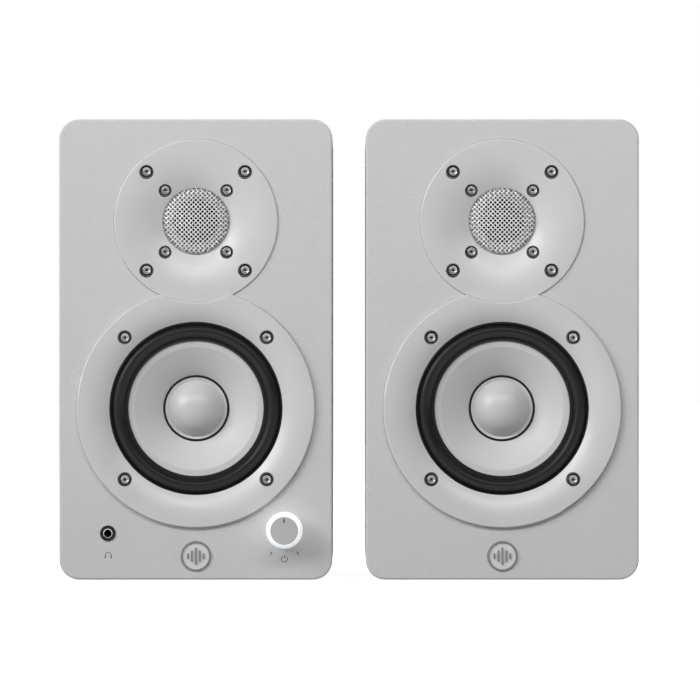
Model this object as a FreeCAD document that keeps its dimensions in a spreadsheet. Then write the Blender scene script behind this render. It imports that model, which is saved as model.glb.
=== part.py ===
"""Desktop speakers: a pair of small powered two-way monitors, standing side by side.

Frame: millimetres, +Z up, fronts towards -Y, left speaker (the powered one) towards -X. The origin is
on the surface that the pair stands on, under the middle of the whole pair.

Most pieces are turned about an axis that runs front to back. Their sections are drawn in a plane with
the radius across and the depth up, so a point is (radius, depth). Depth is counted from the front face
of the baffle, or from the rear face of the cabinet for what is fitted there, and grows towards +Y.
"""
import FreeCAD, Part
import math
import os
import re
import Sketcher

SIZES = {
    # the pair
    "spacing": 148.1,
    "speaker_width": 132,
    "speaker_top": 223,
    "edge_radius": 9.5,
    "front_face": -82,
    "rear_face": 86,
    # cabinet and baffle
    "baffle_depth": 12,
    "baffle_edge": 1,
    "wall": 9,
    "inner_corner": 3,
    "fit_gap": 0.1,
    # pads under the cabinet
    "pad_radius": 7.5,
    "pad_proud": 0.6,
    "pad_sunk": 1,
    "pad_across": 48,
    "pad_front": -56,
    "pad_rear": 72,
    # driver places
    "woofer_level": 83.3,
    "tweeter_level": 173.7,
    # woofer trim ring
    "ring_outer": 57.6,
    "ring_inner": 41.9,
    "ring_proud": 2,
    "ring_back": 4.5,
    "ring_land": 1.8,
    "ring_lip_front": 2,
    "ring_lip_back": 3.4,
    "rim_round": 0.7,
    "bite_round": 0.6,
    "mouth_round": 0.25,
    "gasket_outer": 44.4,
    "screw_spread": 34.3,
    "flare_width": "ring_outer - ring_land - ring_inner",
    "flare_depth": "ring_lip_front + ring_proud",
    "ring_flare": "(flare_width ^ 2 + flare_depth ^ 2) / (2 * flare_depth)",
    # socket screws: a head standing in the ring-shaped groove of its own flange
    "screw_head": 2.05,
    "screw_groove": 2.65,
    "screw_flange": 3.25,
    "screw_flange_small": 2.95,
    "screw_dome": 0.2,
    "screw_flange_drop": 1,
    "screw_groove_depth": 2,
    "screw_head_height": 2.6,
    "screw_shank": 1.4,
    "screw_reach": 10.6,
    "screw_reach_small": 7.2,
    "screw_rim": 1.75,
    "screw_dish": 1.05,
    "screw_dish_depth": 0.7,
    "screw_socket": 0.95,
    "screw_socket_depth": 2,
    "ring_screw_top": -0.1,
    # woofer frame
    "frame_outer": 54,
    "frame_flange": 1.2,
    "frame_mouth": 41,
    "frame_shoulder": 43,
    "frame_wall_radius": 33.6,
    "frame_wall": 1.2,
    "frame_knee": 20.6,
    "frame_foot": 31.7,
    "shelf_front": 21.2,
    "shelf_back": 22.2,
    "shelf_inner": 28.5,
    "frame_floor": 27,
    "frame_neck": 17,
    "window_radius": 5.4,
    "window_ring": 37.6,
    "window_front": 6.2,
    "window_back": 20,
    # rubber surround
    "roll_middle": 37.45,
    "roll_crest": 0.4,
    "roll_inner": 34.1,
    "roll_outer": 40.8,
    "roll_radius": 3.3,
    "rubber": 0.9,
    "surround_front": 3.5,
    "surround_inner": 32.65,
    # cone, cap and coil
    "cone_edge": 34.1,
    "cone_lip": 29.45,
    "cone_front": 4.5,
    "cone_sheet": 0.7,
    "cone_neck": 13,
    "cone_neck_depth": 14.6,
    "cone_neck_back": 15.65,
    "cone_curve": 60,
    "cap_radius": 13.8,
    "cap_flange": 15.4,
    "cap_base": 11.9,
    "cap_sheet": 0.6,
    "cap_rise": 8.4,
    "former_inner": 12.6,
    "former_outer": 12.95,
    "former_front": 13.6,
    "former_back": 36,
    "winding_outer": 13.5,
    "winding_front": 28,
    "winding_back": 35,
    # spider
    "spider_inner": 13.05,
    "spider_outer": 31.4,
    "spider_sheet": 0.5,
    "spider_wave": 1.2,
    "spider_pitch": 4,
    "spider_first": 15.1,
    # woofer motor
    "plate_inner": 14,
    "plate_outer": 31,
    "plate_depth": 5,
    "magnet_inner": 17,
    "magnet_outer": 36,
    "magnet_depth": 12,
    "yoke_outer": 33,
    "yoke_depth": 5,
    "pole_radius": 12.1,
    "pole_vent": 3,
    # tweeter waveguide
    "disc_radius": 39.75,
    "disc_proud": 0.8,
    "disc_sunk": 4.3,
    "disc_land": 1.15,
    "disc_bite": 39.05,
    "hub_radius": 25.5,
    "hub_back": 9,
    "throat_radius": 11,
    "throat_front": 8,
    "seat_inner": 15.2,
    "seat_outer": 16.3,
    "seat_front": 4.9,
    "seat_back": 5.9,
    "horn_width": "disc_radius - disc_land - seat_outer",
    "horn_depth": "disc_proud + seat_front",
    "horn_flare": "(horn_width ^ 2 + horn_depth ^ 2) / (2 * horn_depth)",
    "outer_screws": 23.8,
    "outer_screw_top": 0.4,
    "inner_screws": 14.9,
    "inner_screw_top": 3.8,
    "bore_gap": 0.15,
    # tweeter mesh, dome and motor
    "mesh_rim": 16.2,
    "mesh_edge": 15.4,
    "mesh_apex": 0.3,
    "mesh_base": 5.2,
    "mesh_sheet": 0.6,
    "dome_edge": 9.6,
    "dome_rim": 10.6,
    "dome_apex": 4.6,
    "dome_base": 8,
    "dome_sheet": 0.3,
    "dome_former_back": 14,
    "motor_flange": 25.3,
    "motor_flange_back": 11,
    "motor_radius": 15,
    "motor_back": 27,
    "gap_inner": 9,
    "gap_outer": 10.3,
    "gap_front": 10.5,
    "gap_back": 19,
    # badge
    "badge_level": 12,
    "badge_radius": 7.2,
    "badge_rim": 0.8,
    "badge_soft": 0.2,
    "badge_proud": 0.8,
    "badge_sunk": 0.8,
    "badge_field": 0.1,
    "bar_width": 0.9,
    "bar_pitch": 1.9,
    "bar_step": 1.4,
    "bar_proud": 0.6,
    # bass port
    "port_level": 178,
    "port_bore": 14,
    "port_wall": 2,
    "port_length": 85,
    "port_lip": 22,
    "port_lip_depth": 1.5,
    "port_flare": 3.5,
    # knob
    "knob_across": 42.8,
    "knob_level": 24.45,
    "knob_base": 8.83,
    "knob_lift": 0.9,
    "knob_foot": 1.9,
    "knob_face_radius": 7.3,
    "knob_front": 12.2,
    "knob_chamfer": 0.2,
    "hollow_foot": 7.6,
    "hollow_top": 6.4,
    "cap_disc": 6.75,
    "cap_disc_front": 12.5,
    "cap_disc_seat": 11.4,
    "boss_radius": 4.2,
    "boss_bore": 2.95,
    "boss_front": 9.6,
    "boss_floor": 10.2,
    "stem_radius": 2.9,
    "stem_front": 9.9,
    "stem_back": 15,
    "stem_hole": 3.4,
    "pointer_width": 0.9,
    "pointer_inner": 3.7,
    "pointer_outer": 6,
    "pointer_depth": 0.4,
    # front control board, behind the knob
    "board_front": 20,
    "board_sheet": 1.6,
    "board_across": 26,
    "board_height": 26,
    "board_corner": 2.4,
    "encoder_side": 13,
    "encoder_corner": 0.5,
    "encoder_front": 12.4,
    "encoder_floor": 17,
    "spacer_radius": 2.5,
    "spacer_spread": 10,
    # headphone jack
    "jack_across": -42.5,
    "jack_level": 23,
    "jack_bezel": 3.78,
    "jack_bezel_proud": 0.5,
    "jack_bore": 1.8,
    "jack_bore_back": 15.5,
    "jack_barrel": 3.2,
    "jack_housing": 5.2,
    "jack_back": 24,
    # rear panel
    "panel_width": 112,
    "panel_bottom": 12,
    "panel_top": 136,
    "panel_corner": 3,
    "panel_sheet": 1.5,
    "cutout_margin": 6,
    "panel_screw_inset": 4,
    "panel_screw_margin": 3.1,
    "panel_screw_head": 2.6,
    "panel_screw_proud": 1.6,
    "panel_screw_shank": 1.2,
    "panel_screw_reach": 7,
    "cross_arm": 1.4,
    "cross_blade": 0.36,
    # combination jacks
    "combo_left": -34,
    "combo_right": -4,
    "combo_level": 108,
    "combo_width": 26,
    "combo_height": 31,
    "combo_corner": 3,
    "combo_flange": 2,
    "combo_housing": 11.9,
    "combo_face": 9.6,
    "combo_recess": 4,
    "combo_bore": 3.25,
    "combo_bore_depth": 16,
    "combo_depth": 20,
    "pin_hole": 1.3,
    "pin_ring": 6.6,
    # phono sockets and mini jack
    "phono_left": 22,
    "phono_right": 40,
    "phono_level": 112,
    "phono_outer": 4.15,
    "phono_collar": 5.6,
    "phono_proud": 7,
    "phono_wall": 0.6,
    "phono_core": 3,
    "phono_bore": 1.6,
    "phono_cup": 5,
    "phono_depth": 12,
    "mini_across": 31,
    "mini_level": 94,
    "mini_proud": 1.2,
    # slide switches
    "room_across": -34,
    "trim_across": -4,
    "switch_level": 76,
    "slider_width": 3,
    "slider_height": 2.6,
    "slider_back": -1,
    "slider_proud": 1.2,
    "slider_travel": 2,
    "slider_gap": 0.3,
    "slot_height": 3.2,
    # spring-clip terminals
    "clip_across": 31,
    "clip_level": 66,
    "clip_width": 36,
    "clip_height": 32,
    "clip_corner": 2,
    "clip_flange": 1.5,
    "clip_body_width": 30,
    "clip_body_height": 26,
    "clip_body_depth": 14,
    "lever_spread": 7,
    "lever_width": 8.2,
    "lever_gap": 0.4,
    "lever_foot": -3.5,
    "lever_root": 2.25,
    "lever_height": 12,
    "lever_sheet": 2.4,
    "lever_proud": 4,
    "pocket_depth": 8,
    "pocket_headroom": 3,
    "pin_radius": 1.5,
    "pin_gap": 0.05,
    "pin_overhang": 1.2,
    "pin_depth": -3.2,
    "wire_hole": 1.5,
    "wire_hole_drop": 9,
    "wire_hole_depth": 10,
    # mains inlet
    "mains_across": -30,
    "mains_level": 34,
    "mains_width": 27,
    "mains_height": 17,
    "mains_corner": 2,
    "mains_flange": 2,
    "mains_body_width": 22,
    "mains_body_height": 13,
    "mains_depth": 18,
    "mains_lobe": 4.3,
    "mains_pin_spread": 4.3,
    "mains_recess": 11,
    "mains_pin": 1.2,
    "mains_pin_short": 2,
    # amplifier board, behind the rear panel
    "amp_depth": -26,
    "amp_width": 96,
    "amp_bottom": 20,
    "amp_top": 128,
    "amp_post": 3,
    "amp_post_inset": 7,
    "sink_height": 34,
    "sink_width": 60,
    "sink_depth": 18,
    "sink_level": 88,
    "transformer_side": 34,
    "transformer_depth": 26,
    "capacitor_radius": 8,
    "capacitor_depth": 25,
    "capacitor_pitch": 20,
    # crossover board, inside the right cabinet
    "crossover_width": 70,
    "crossover_height": 50,
    "crossover_level": 122,
    "crossover_lift": 6,
    "coil_radius": 12,
    "coil_bore": 5,
    "coil_depth": 14,
    "coil_spread": 20,
    "film_level": 102,
    "film_width": 24,
    "film_height": 12,
    "film_depth": 14,
}

LEFT = -1
RIGHT = 1
TOUCH = 0.01
SIDE_NAMES = {LEFT: "left", RIGHT: "right"}

doc = FreeCAD.newDocument("desktop_speakers")
sheet = doc.addObject("Spreadsheet::Sheet", "Sizes")
nodes = []


def bind(formula):
    """Turns each plain word of a formula into a reference to the sheet."""
    return re.sub(r"[a-z_]+", lambda word: "Sizes." + word.group(), str(formula))


def number(formula):
    return float(sheet.evalExpression(bind(formula)))


def fill_sheet():
    for row, (name, size) in enumerate(SIZES.items(), start=1):
        text = str(size)
        if isinstance(size, str):
            text = "=" + text
        sheet.set(f"A{row}", name)
        sheet.set(f"B{row}", text)
        sheet.setAlias(f"B{row}", name)
    doc.recompute()


def node(thing, label):
    """Names a finished sub-part and puts it on the list of nodes."""
    thing.Label = label
    if thing.Label != label:
        raise ValueError("two sub-parts are called " + label)
    nodes.append(thing)
    return thing


# --- sketches -----------------------------------------------------------------------------------

def hold(sketch, kind, formula, *where):
    """Adds a dimension to a sketch, bound to the sheet where its formula names a size."""
    index = sketch.addConstraint(Sketcher.Constraint(kind, *where, number(formula)))
    if re.search("[a-z]", str(formula)):
        sketch.setExpression(f"Constraints[{index}]", bind(formula))


def hold_point(sketch, edge, end, across, along):
    hold(sketch, "DistanceX", across, -1, 1, edge, end)
    hold(sketch, "DistanceY", along, -1, 1, edge, end)


def add_arc(sketch, start, stop, formula):
    """An arc between two points; gives its index and which of its ends are start and stop."""
    radius = number(formula)
    chord = stop - start
    to_left = FreeCAD.Vector(-chord.y, chord.x, 0).normalize()
    height = math.sqrt(max(0.0, radius ** 2 - chord.Length ** 2 / 4))
    centre = (start + stop) / 2 + to_left * math.copysign(height, radius)
    circle = Part.Circle(centre, FreeCAD.Vector(0, 0, 1), abs(radius))
    turns = [math.atan2(point.y - centre.y, point.x - centre.x) for point in (start, stop)]
    if radius > 0:
        edge = sketch.addGeometry(Part.ArcOfCircle(circle, turns[0], turns[1]), False)
        hold(sketch, "Radius", formula, edge)
        return edge, 1, 2
    edge = sketch.addGeometry(Part.ArcOfCircle(circle, turns[1], turns[0]), False)
    hold(sketch, "Radius", f"-1 * ({formula})", edge)
    return edge, 2, 1


def draw_outline(sketch, corners):
    """A closed outline through corners given anticlockwise. A third value on a corner makes the edge
    that leaves it an arc of that radius, positive where the outline bulges and negative where hollow."""
    points = [FreeCAD.Vector(number(corner[0]), number(corner[1]), 0) for corner in corners]
    edges = []
    for corner, start, stop in zip(corners, points, points[1:] + points[:1]):
        if len(corner) == 3:
            edges.append(add_arc(sketch, start, stop, corner[2]))
        else:
            edges.append((sketch.addGeometry(Part.LineSegment(start, stop), False), 1, 2))
    for corner, edge, following in zip(corners, edges, edges[1:] + edges[:1]):
        sketch.addConstraint(Sketcher.Constraint("Coincident", edge[0], edge[2], following[0], following[1]))
        hold_point(sketch, edge[0], edge[1], corner[0], corner[1])


def draw_circle(sketch, across, along, radius):
    centre = FreeCAD.Vector(number(across), number(along), 0)
    edge = sketch.addGeometry(Part.Circle(centre, FreeCAD.Vector(0, 0, 1), number(radius)), False)
    hold_point(sketch, edge, 3, across, along)
    hold(sketch, "Radius", radius, edge)


def rectangle(left, bottom, right, top):
    return [(left, bottom), (right, bottom), (right, top), (left, top)]


def rounded_rectangle(left, bottom, right, top, radius):
    return [
        (f"{left} + {radius}", bottom),
        (f"{right} - {radius}", bottom, radius),
        (right, f"{bottom} + {radius}"),
        (right, f"{top} - {radius}", radius),
        (f"{right} - {radius}", top),
        (f"{left} + {radius}", top, radius),
        (left, f"{top} - {radius}"),
        (left, f"{bottom} + {radius}", radius),
    ]


def middle_rectangle(width, height, radius, level="0"):
    """A rounded rectangle about the middle line, with its own middle at the given level."""
    return rounded_rectangle(f"-({width}) / 2", f"{level} - ({height}) / 2",
                             f"({width}) / 2", f"{level} + ({height}) / 2", radius)


def upright_slot(across, low, high, radius):
    """A slot with round ends whose centres are at the low and high levels."""
    return [
        (f"{across} + {radius}", low),
        (f"{across} + {radius}", high, radius),
        (across, f"{high} + {radius}", radius),
        (f"{across} - {radius}", high),
        (f"{across} - {radius}", low, radius),
        (across, f"{low} - {radius}", radius),
    ]


def new_sketch(body, role, offset="0"):
    sketch = body.newObject("Sketcher::SketchObject", "sketch")
    plane = next(feature for feature in body.Origin.OriginFeatures if feature.Role == role)
    sketch.AttachmentSupport = (plane, [""])
    sketch.MapMode = "FlatFace"
    sketch.setExpression("AttachmentOffset.Base.z", bind(offset))
    return sketch


# --- solids -------------------------------------------------------------------------------------

def set_place(thing, place):
    for axis, formula in zip("xyz", place):
        thing.setExpression(f"Placement.Base.{axis}", bind(formula))


def new_body(name, place):
    body = doc.addObject("PartDesign::Body", name)
    set_place(body, place)
    return body


def turned(name, place, section):
    """A body turned about its own front-to-back axis from a section of (radius, depth) points."""
    body = new_body(name, place)
    sketch = new_sketch(body, "XY_Plane")
    draw_outline(sketch, section)
    turning = body.newObject("PartDesign::Revolution", "turning")
    turning.Profile = sketch
    turning.ReferenceAxis = (sketch, ["V_Axis"])
    turning.Angle = 360
    doc.recompute()
    return body


def face_sketch(body, depth, outlines, circles):
    """A sketch seen from the front, lying at the given depth of the body's own frame."""
    sketch = new_sketch(body, "XZ_Plane", f"-({depth})")
    for outline in outlines:
        draw_outline(sketch, outline)
    for circle in circles:
        draw_circle(sketch, *circle)
    return sketch


def extrude(body, kind, profile, start, stop):
    feature = body.newObject(kind, "step")
    feature.Profile = profile
    feature.setExpression("Length", bind(f"({stop}) - ({start})"))
    doc.recompute()
    return feature


def pad(body, start, stop, outlines=(), circles=()):
    """Adds material between two depths. A pad grows towards the front, so its sketch is at the back."""
    return extrude(body, "PartDesign::Pad", face_sketch(body, stop, outlines, circles), start, stop)


def pocket(body, start, stop, outlines=(), circles=()):
    """Cuts between two depths, and makes sure that something was cut."""
    before = body.Shape.Volume
    extrude(body, "PartDesign::Pocket", face_sketch(body, start, outlines, circles), start, stop)
    if not body.Shape.Volume < before:
        raise ValueError("a pocket cut nothing from " + body.Name)


def round_seat(body, start, stop, circle, rounding):
    """Cuts a round seat and rounds its front edge, which may lie on a curved surface."""
    pocket(body, start, stop, circles=[circle])
    across, up, reach = (number(size) for size in circle)
    place = body.Placement.Base
    floor = place.y + number(stop)
    rim = []
    for index, edge in enumerate(body.Shape.Edges, start=1):
        middle = edge.valueAt((edge.FirstParameter + edge.LastParameter) / 2)
        points = [middle] + [vertex.Point for vertex in edge.Vertexes]
        depths = [point.y for point in points]
        on_wall = all(abs(math.hypot(point.x - place.x - across, point.z - place.z - up) - reach) < TOUCH
                      for point in points)
        straight = max(depths) - min(depths) > edge.Length / 2
        if on_wall and not straight and max(depths) < floor - TOUCH:
            rim.append(f"Edge{index}")
    seated = body.Tip
    softening = body.newObject("PartDesign::Fillet", "softening")
    softening.Base = (seated, rim)
    softening.setExpression("Radius", bind(rounding))
    doc.recompute()


def box(name, corner, size):
    solid = doc.addObject("Part::Box", name)
    for side, formula in zip(("Length", "Width", "Height"), size):
        solid.setExpression(side, bind(formula))
    set_place(solid, corner)
    return solid


def rod(name, place, radius, length, direction):
    """A cylinder from a place towards the given direction."""
    solid = doc.addObject("Part::Cylinder", name)
    solid.setExpression("Radius", bind(radius))
    solid.setExpression("Height", bind(length))
    turn = FreeCAD.Rotation(FreeCAD.Vector(0, 0, 1), FreeCAD.Vector(*direction))
    solid.Placement = FreeCAD.Placement(FreeCAD.Vector(), turn)
    set_place(solid, place)
    return solid


def fused(name, solids):
    fusion = doc.addObject("Part::MultiFuse", name)
    fusion.Shapes = solids
    return fusion


def without(name, base, tool):
    cut = doc.addObject("Part::Cut", name)
    cut.Base = base
    cut.Tool = tool
    return cut


def group(name, solids):
    """Several separate solids under one name."""
    compound = doc.addObject("Part::Compound", name)
    compound.Links = solids
    return compound


def copies(name, master, places):
    """Copies of one body, each moved to its own place, as a group."""
    links = []
    for place in places:
        link = doc.addObject("App::Link", name + "_copy")
        link.LinkedObject = master
        set_place(link, place)
        links.append(link)
    return group(name, links)


def four_ways(spread):
    """The four corners of a square of the given half width."""
    return [(f"{across} * {spread}", f"{up} * {spread}") for across in (-1, 1) for up in (-1, 1)]


def axis_of(side, offset="0"):
    """The x of a speaker's middle line, or of a line beside it."""
    return f"{side} * spacing / 2 + {offset}"


def crown(radius, rise):
    """The radius of a dome that rises so much within so wide an edge."""
    return f"(({radius}) ^ 2 + ({rise}) ^ 2) / (2 * ({rise}))"


# --- cabinet ------------------------------------------------------------------------------------

def outer_shell(inset="0"):
    edge = f"speaker_width / 2 - {inset}"
    return rounded_rectangle(f"-1 * ({edge})", f"pad_proud + {inset}", edge, f"speaker_top - {inset}",
                             "edge_radius")


def make_cabinet(side):
    """Four walls and a back in one piece. The amplifier's opening is cut only in the left one."""
    name = SIDE_NAMES[side] + "_cabinet"
    body = new_body(name + "_shell", (axis_of(side), "front_face", "0"))
    back = "rear_face - front_face"
    pad(body, "baffle_depth", back, [outer_shell()])
    inner = "speaker_width / 2 - wall"
    chamber = rounded_rectangle(f"-1 * ({inner})", "pad_proud + wall", inner, "speaker_top - wall",
                                "inner_corner")
    pocket(body, "baffle_depth", f"{back} - wall", [chamber])
    openings = []
    if side == LEFT:
        edge = "panel_width / 2 - cutout_margin"
        openings.append(rounded_rectangle(f"-1 * ({edge})", "panel_bottom + cutout_margin", edge,
                                          "panel_top - cutout_margin", "panel_corner"))
        pilots = [(across, level, "panel_screw_shank + fit_gap / 2") for across, level in panel_screws()]
        pocket(body, f"{back} - panel_screw_reach", back, circles=pilots)
    else:
        outline = middle_rectangle("clip_body_width + 2 * fit_gap", "clip_body_height + 2 * fit_gap",
                                   "clip_corner", "clip_level")
        openings.append(shifted(outline, "clip_across"))
    port = ("0", "port_level", "port_bore + port_wall + fit_gap")
    pocket(body, f"{back} - wall", back, openings, [port])
    tool = group(name + "_pad_seats", [
        rod("pad_seat", place, "pad_radius + fit_gap", "pad_sunk", (0, 0, 1))
        for place in pad_places(side, "pad_proud")])
    return node(without(name, body, tool), name)


def shifted(outline, across, up="0"):
    return [(f"{corner[0]} + {across}", f"{corner[1]} + {up}", *corner[2:]) for corner in outline]


def pad_places(side, level):
    return [(axis_of(side, f"{across} * pad_across"), depth, level)
            for across in (-1, 1) for depth in ("pad_front", "pad_rear")]


def make_pads(side):
    """Four round non-slip pads, let into the underside and standing a little proud of it."""
    name = SIDE_NAMES[side] + "_pads"
    pads = [rod("pad", place, "pad_radius", "pad_proud + pad_sunk", (0, 0, 1))
            for place in pad_places(side, "0")]
    return node(group(name, pads), name)


def make_baffle(side):
    """The front board, with its seats for the drivers, the badge and, on the left, the controls."""
    name = SIDE_NAMES[side] + "_front_baffle"
    body = new_body(name, (axis_of(side), "front_face", "0"))
    pad(body, "0", "baffle_depth", [outer_shell()])
    rim = [f"Edge{index}" for index, edge in enumerate(body.Shape.Edges, start=1)
           if abs(edge.BoundBox.YMax - number("front_face")) < 0.001]
    board = body.Tip
    softening = body.newObject("PartDesign::Fillet", "softening")
    softening.Base = (board, rim)
    softening.setExpression("Radius", bind("baffle_edge"))
    doc.recompute()
    woofer = ("0", "woofer_level")
    tweeter = ("0", "tweeter_level")
    pocket(body, "0", "ring_back", circles=[(*woofer, "ring_outer + fit_gap")])
    pocket(body, "0", "ring_back + frame_flange", circles=[(*woofer, "frame_outer + fit_gap")])
    pocket(body, "0", "baffle_depth", circles=[(*woofer, "frame_shoulder + frame_flange")])
    pocket(body, "0", "disc_sunk", circles=[(*tweeter, "disc_radius + fit_gap")])
    pocket(body, "0", "baffle_depth", circles=[(*tweeter, "hub_radius + fit_gap")])
    pilots = [(across, f"woofer_level + {up}", "screw_shank + fit_gap / 2")
              for across, up in four_ways("screw_spread")]
    pilots += [(across, f"tweeter_level + {up}", "screw_shank + fit_gap / 2")
               for across, up in four_ways("outer_screws")]
    pocket(body, "disc_sunk", "baffle_depth", circles=pilots)
    pocket(body, "0", "badge_sunk", circles=[("0", "badge_level", "badge_radius + fit_gap")])
    if side == LEFT:
        holes = [("knob_across", "knob_level", "stem_hole"),
                 ("jack_across", "jack_level", "jack_barrel + fit_gap")]
        pocket(body, "0", "baffle_depth", circles=holes)
    return node(body, name)


def make_badge(side):
    """A round badge: a raised rim about a plain field that carries five upright rounded bars."""
    name = SIDE_NAMES[side] + "_badge"
    body = turned(name, (axis_of(side), "front_face", "badge_level"), [
        ("0", "-badge_field"),
        ("badge_radius - badge_rim", "-badge_field"),
        ("badge_radius - badge_rim", "-badge_proud"),
        ("badge_radius - badge_soft", "-badge_proud", "badge_soft"),
        ("badge_radius", "-badge_proud + badge_soft"),
        ("badge_radius", "badge_sunk"),
        ("0", "badge_sunk"),
    ])
    bars = []
    for place, steps in enumerate((1, 2, 3, 2, 1), start=-2):
        half = f"{steps} * bar_step - bar_width / 2"
        bars.append(upright_slot(f"{place} * bar_pitch", f"-1 * ({half})", half, "bar_width / 2"))
    pad(body, "-bar_proud", "0", bars)
    return node(body, name)


def make_port(side):
    """The bass port: a tube with a flared mouth in the back of the cabinet."""
    name = SIDE_NAMES[side] + "_port_tube"
    tube = "port_bore + port_wall"
    return node(turned(name, (axis_of(side), "rear_face", "port_level"), [
        ("port_bore", "-port_length"),
        (tube, "-port_length"),
        (tube, "0"),
        ("port_lip", "0"),
        ("port_lip", "port_lip_depth - rim_round", "rim_round"),
        ("port_lip - rim_round", "port_lip_depth"),
        ("port_bore + port_flare", "port_lip_depth", "port_flare"),
        ("port_bore", "port_lip_depth - port_flare"),
    ]), name)


# --- screws -------------------------------------------------------------------------------------

def make_screw(name, flange, reach):
    """A socket screw whose dished head stands in a ring-shaped groove of its own flange."""
    screw = turned(name, ("0", "0", "0"), [
        ("0", "screw_dish_depth"),
        ("screw_dish", "screw_dish_depth"),
        ("screw_rim", "0"),
        ("screw_head - screw_dome", "0", "screw_dome"),
        ("screw_head", "screw_dome"),
        ("screw_head", "screw_groove_depth"),
        ("screw_groove", "screw_groove_depth"),
        ("screw_groove", "screw_flange_drop"),
        (flange, "screw_flange_drop"),
        (flange, "screw_head_height"),
        ("screw_shank", "screw_head_height"),
        ("screw_shank", reach),
        ("0", reach),
    ])
    corners = [(f"{round(math.cos(math.radians(turn)), 5)} * screw_socket",
                f"{round(math.sin(math.radians(turn)), 5)} * screw_socket") for turn in range(0, 360, 60)]
    pocket(screw, "0", "screw_socket_depth", [corners])
    return screw


def make_driver_screws(side, long_screw, short_screw):
    """Four screws hold the woofer; four outer and four inner ones hold the tweeter."""
    middle = axis_of(side)
    name = SIDE_NAMES[side] + "_woofer_screws"
    node(copies(name, long_screw, [
        (f"{middle} + {across}", "front_face + ring_screw_top", f"woofer_level + {up}")
        for across, up in four_ways("screw_spread")]), name)
    name = SIDE_NAMES[side] + "_tweeter_screws"
    outer = copies(name + "_outer", long_screw, [
        (f"{middle} + {across}", "front_face + outer_screw_top", f"tweeter_level + {up}")
        for across, up in four_ways("outer_screws")])
    inner = copies(name + "_inner", short_screw, [
        (f"{middle} + {across}", "front_face + inner_screw_top", f"tweeter_level + {up}")
        for across, up in four_ways("inner_screws")])
    node(group(name, [outer, inner]), name)


# --- woofer -------------------------------------------------------------------------------------

def make_trim_ring(side):
    """The pale ring round the woofer: a rounded rim, a flare towards the cone, and a bite at the top
    that fits round the foot of the tweeter's disc."""
    name = SIDE_NAMES[side] + "_woofer_trim_ring"
    body = turned(name, (axis_of(side), "front_face", "woofer_level"), [
        ("ring_outer", "ring_back"),
        ("gasket_outer + fit_gap", "ring_back"),
        ("gasket_outer + fit_gap", "ring_lip_back"),
        ("ring_inner", "ring_lip_back"),
        ("ring_inner", "ring_lip_front", "ring_flare"),
        ("ring_outer - ring_land", "-ring_proud"),
        ("ring_outer - rim_round", "-ring_proud", "rim_round"),
        ("ring_outer", "-ring_proud + rim_round"),
    ])
    bite = ("0", "tweeter_level - woofer_level", "disc_bite + fit_gap")
    round_seat(body, "-ring_proud", "ring_back", bite, "bite_round")
    for place in four_ways("screw_spread"):
        round_seat(body, "-ring_proud", "ring_screw_top + screw_head_height",
                   (*place, "screw_flange + bore_gap"), "mouth_round")
    shanks = [(across, up, "screw_shank + fit_gap / 2") for across, up in four_ways("screw_spread")]
    pocket(body, "0", "ring_back", circles=shanks)
    return node(body, name)


def make_woofer_frame(side):
    """The basket: flange, sloping wall with eight windows, shelf for the spider, and floor."""
    name = SIDE_NAMES[side] + "_woofer_frame"
    body = turned(name, (axis_of(side), "front_face", "woofer_level"), [
        ("frame_mouth", "ring_back"),
        ("frame_outer", "ring_back"),
        ("frame_outer", "ring_back + frame_flange"),
        ("frame_shoulder", "ring_back + frame_flange"),
        ("frame_wall_radius", "frame_knee"),
        ("frame_wall_radius", "frame_floor"),
        ("frame_neck", "frame_floor"),
        ("frame_neck", "frame_floor - frame_wall"),
        ("frame_wall_radius - frame_wall", "frame_floor - frame_wall"),
        ("frame_wall_radius - frame_wall", "shelf_back"),
        ("shelf_inner", "shelf_back"),
        ("shelf_inner", "shelf_front"),
        ("frame_foot", "shelf_front"),
        ("frame_mouth", "ring_back + frame_flange"),
    ])
    windows = [(f"{round(math.cos(math.radians(turn)), 5)} * window_ring",
                f"{round(math.sin(math.radians(turn)), 5)} * window_ring",
                "window_radius") for turn in range(0, 360, 45)]
    pocket(body, "window_front", "window_back", circles=windows)
    pilots = [(across, up, "screw_shank + fit_gap / 2") for across, up in four_ways("screw_spread")]
    pocket(body, "ring_back", "ring_back + frame_flange", circles=pilots)
    return node(body, name)


def make_surround(side):
    """The rubber half roll between the frame and the cone."""
    name = SIDE_NAMES[side] + "_woofer_surround"
    back = "ring_back"
    return node(turned(name, (axis_of(side), "front_face", "woofer_level"), [
        ("surround_inner", "surround_front"),
        ("roll_inner", "surround_front", "roll_radius"),
        ("roll_middle", "roll_crest", "roll_radius"),
        ("roll_outer", "surround_front"),
        ("gasket_outer", "surround_front"),
        ("gasket_outer", back),
        ("roll_outer - rubber", back, "-roll_radius"),
        ("roll_middle", "roll_crest + rubber", "-roll_radius"),
        ("roll_inner + rubber", back),
        ("surround_inner", back),
    ]), name)


def make_cone(side):
    name = SIDE_NAMES[side] + "_woofer_cone"
    return node(turned(name, (axis_of(side), "front_face", "woofer_level"), [
        ("cone_neck", "cone_neck_depth", "cone_curve"),
        ("cone_lip", "cone_front"),
        ("cone_edge", "cone_front"),
        ("cone_edge", "cone_front + cone_sheet"),
        ("cone_lip + cone_sheet / 2", "cone_front + cone_sheet", "-cone_curve"),
        ("cone_neck", "cone_neck_back"),
    ]), name)


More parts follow.
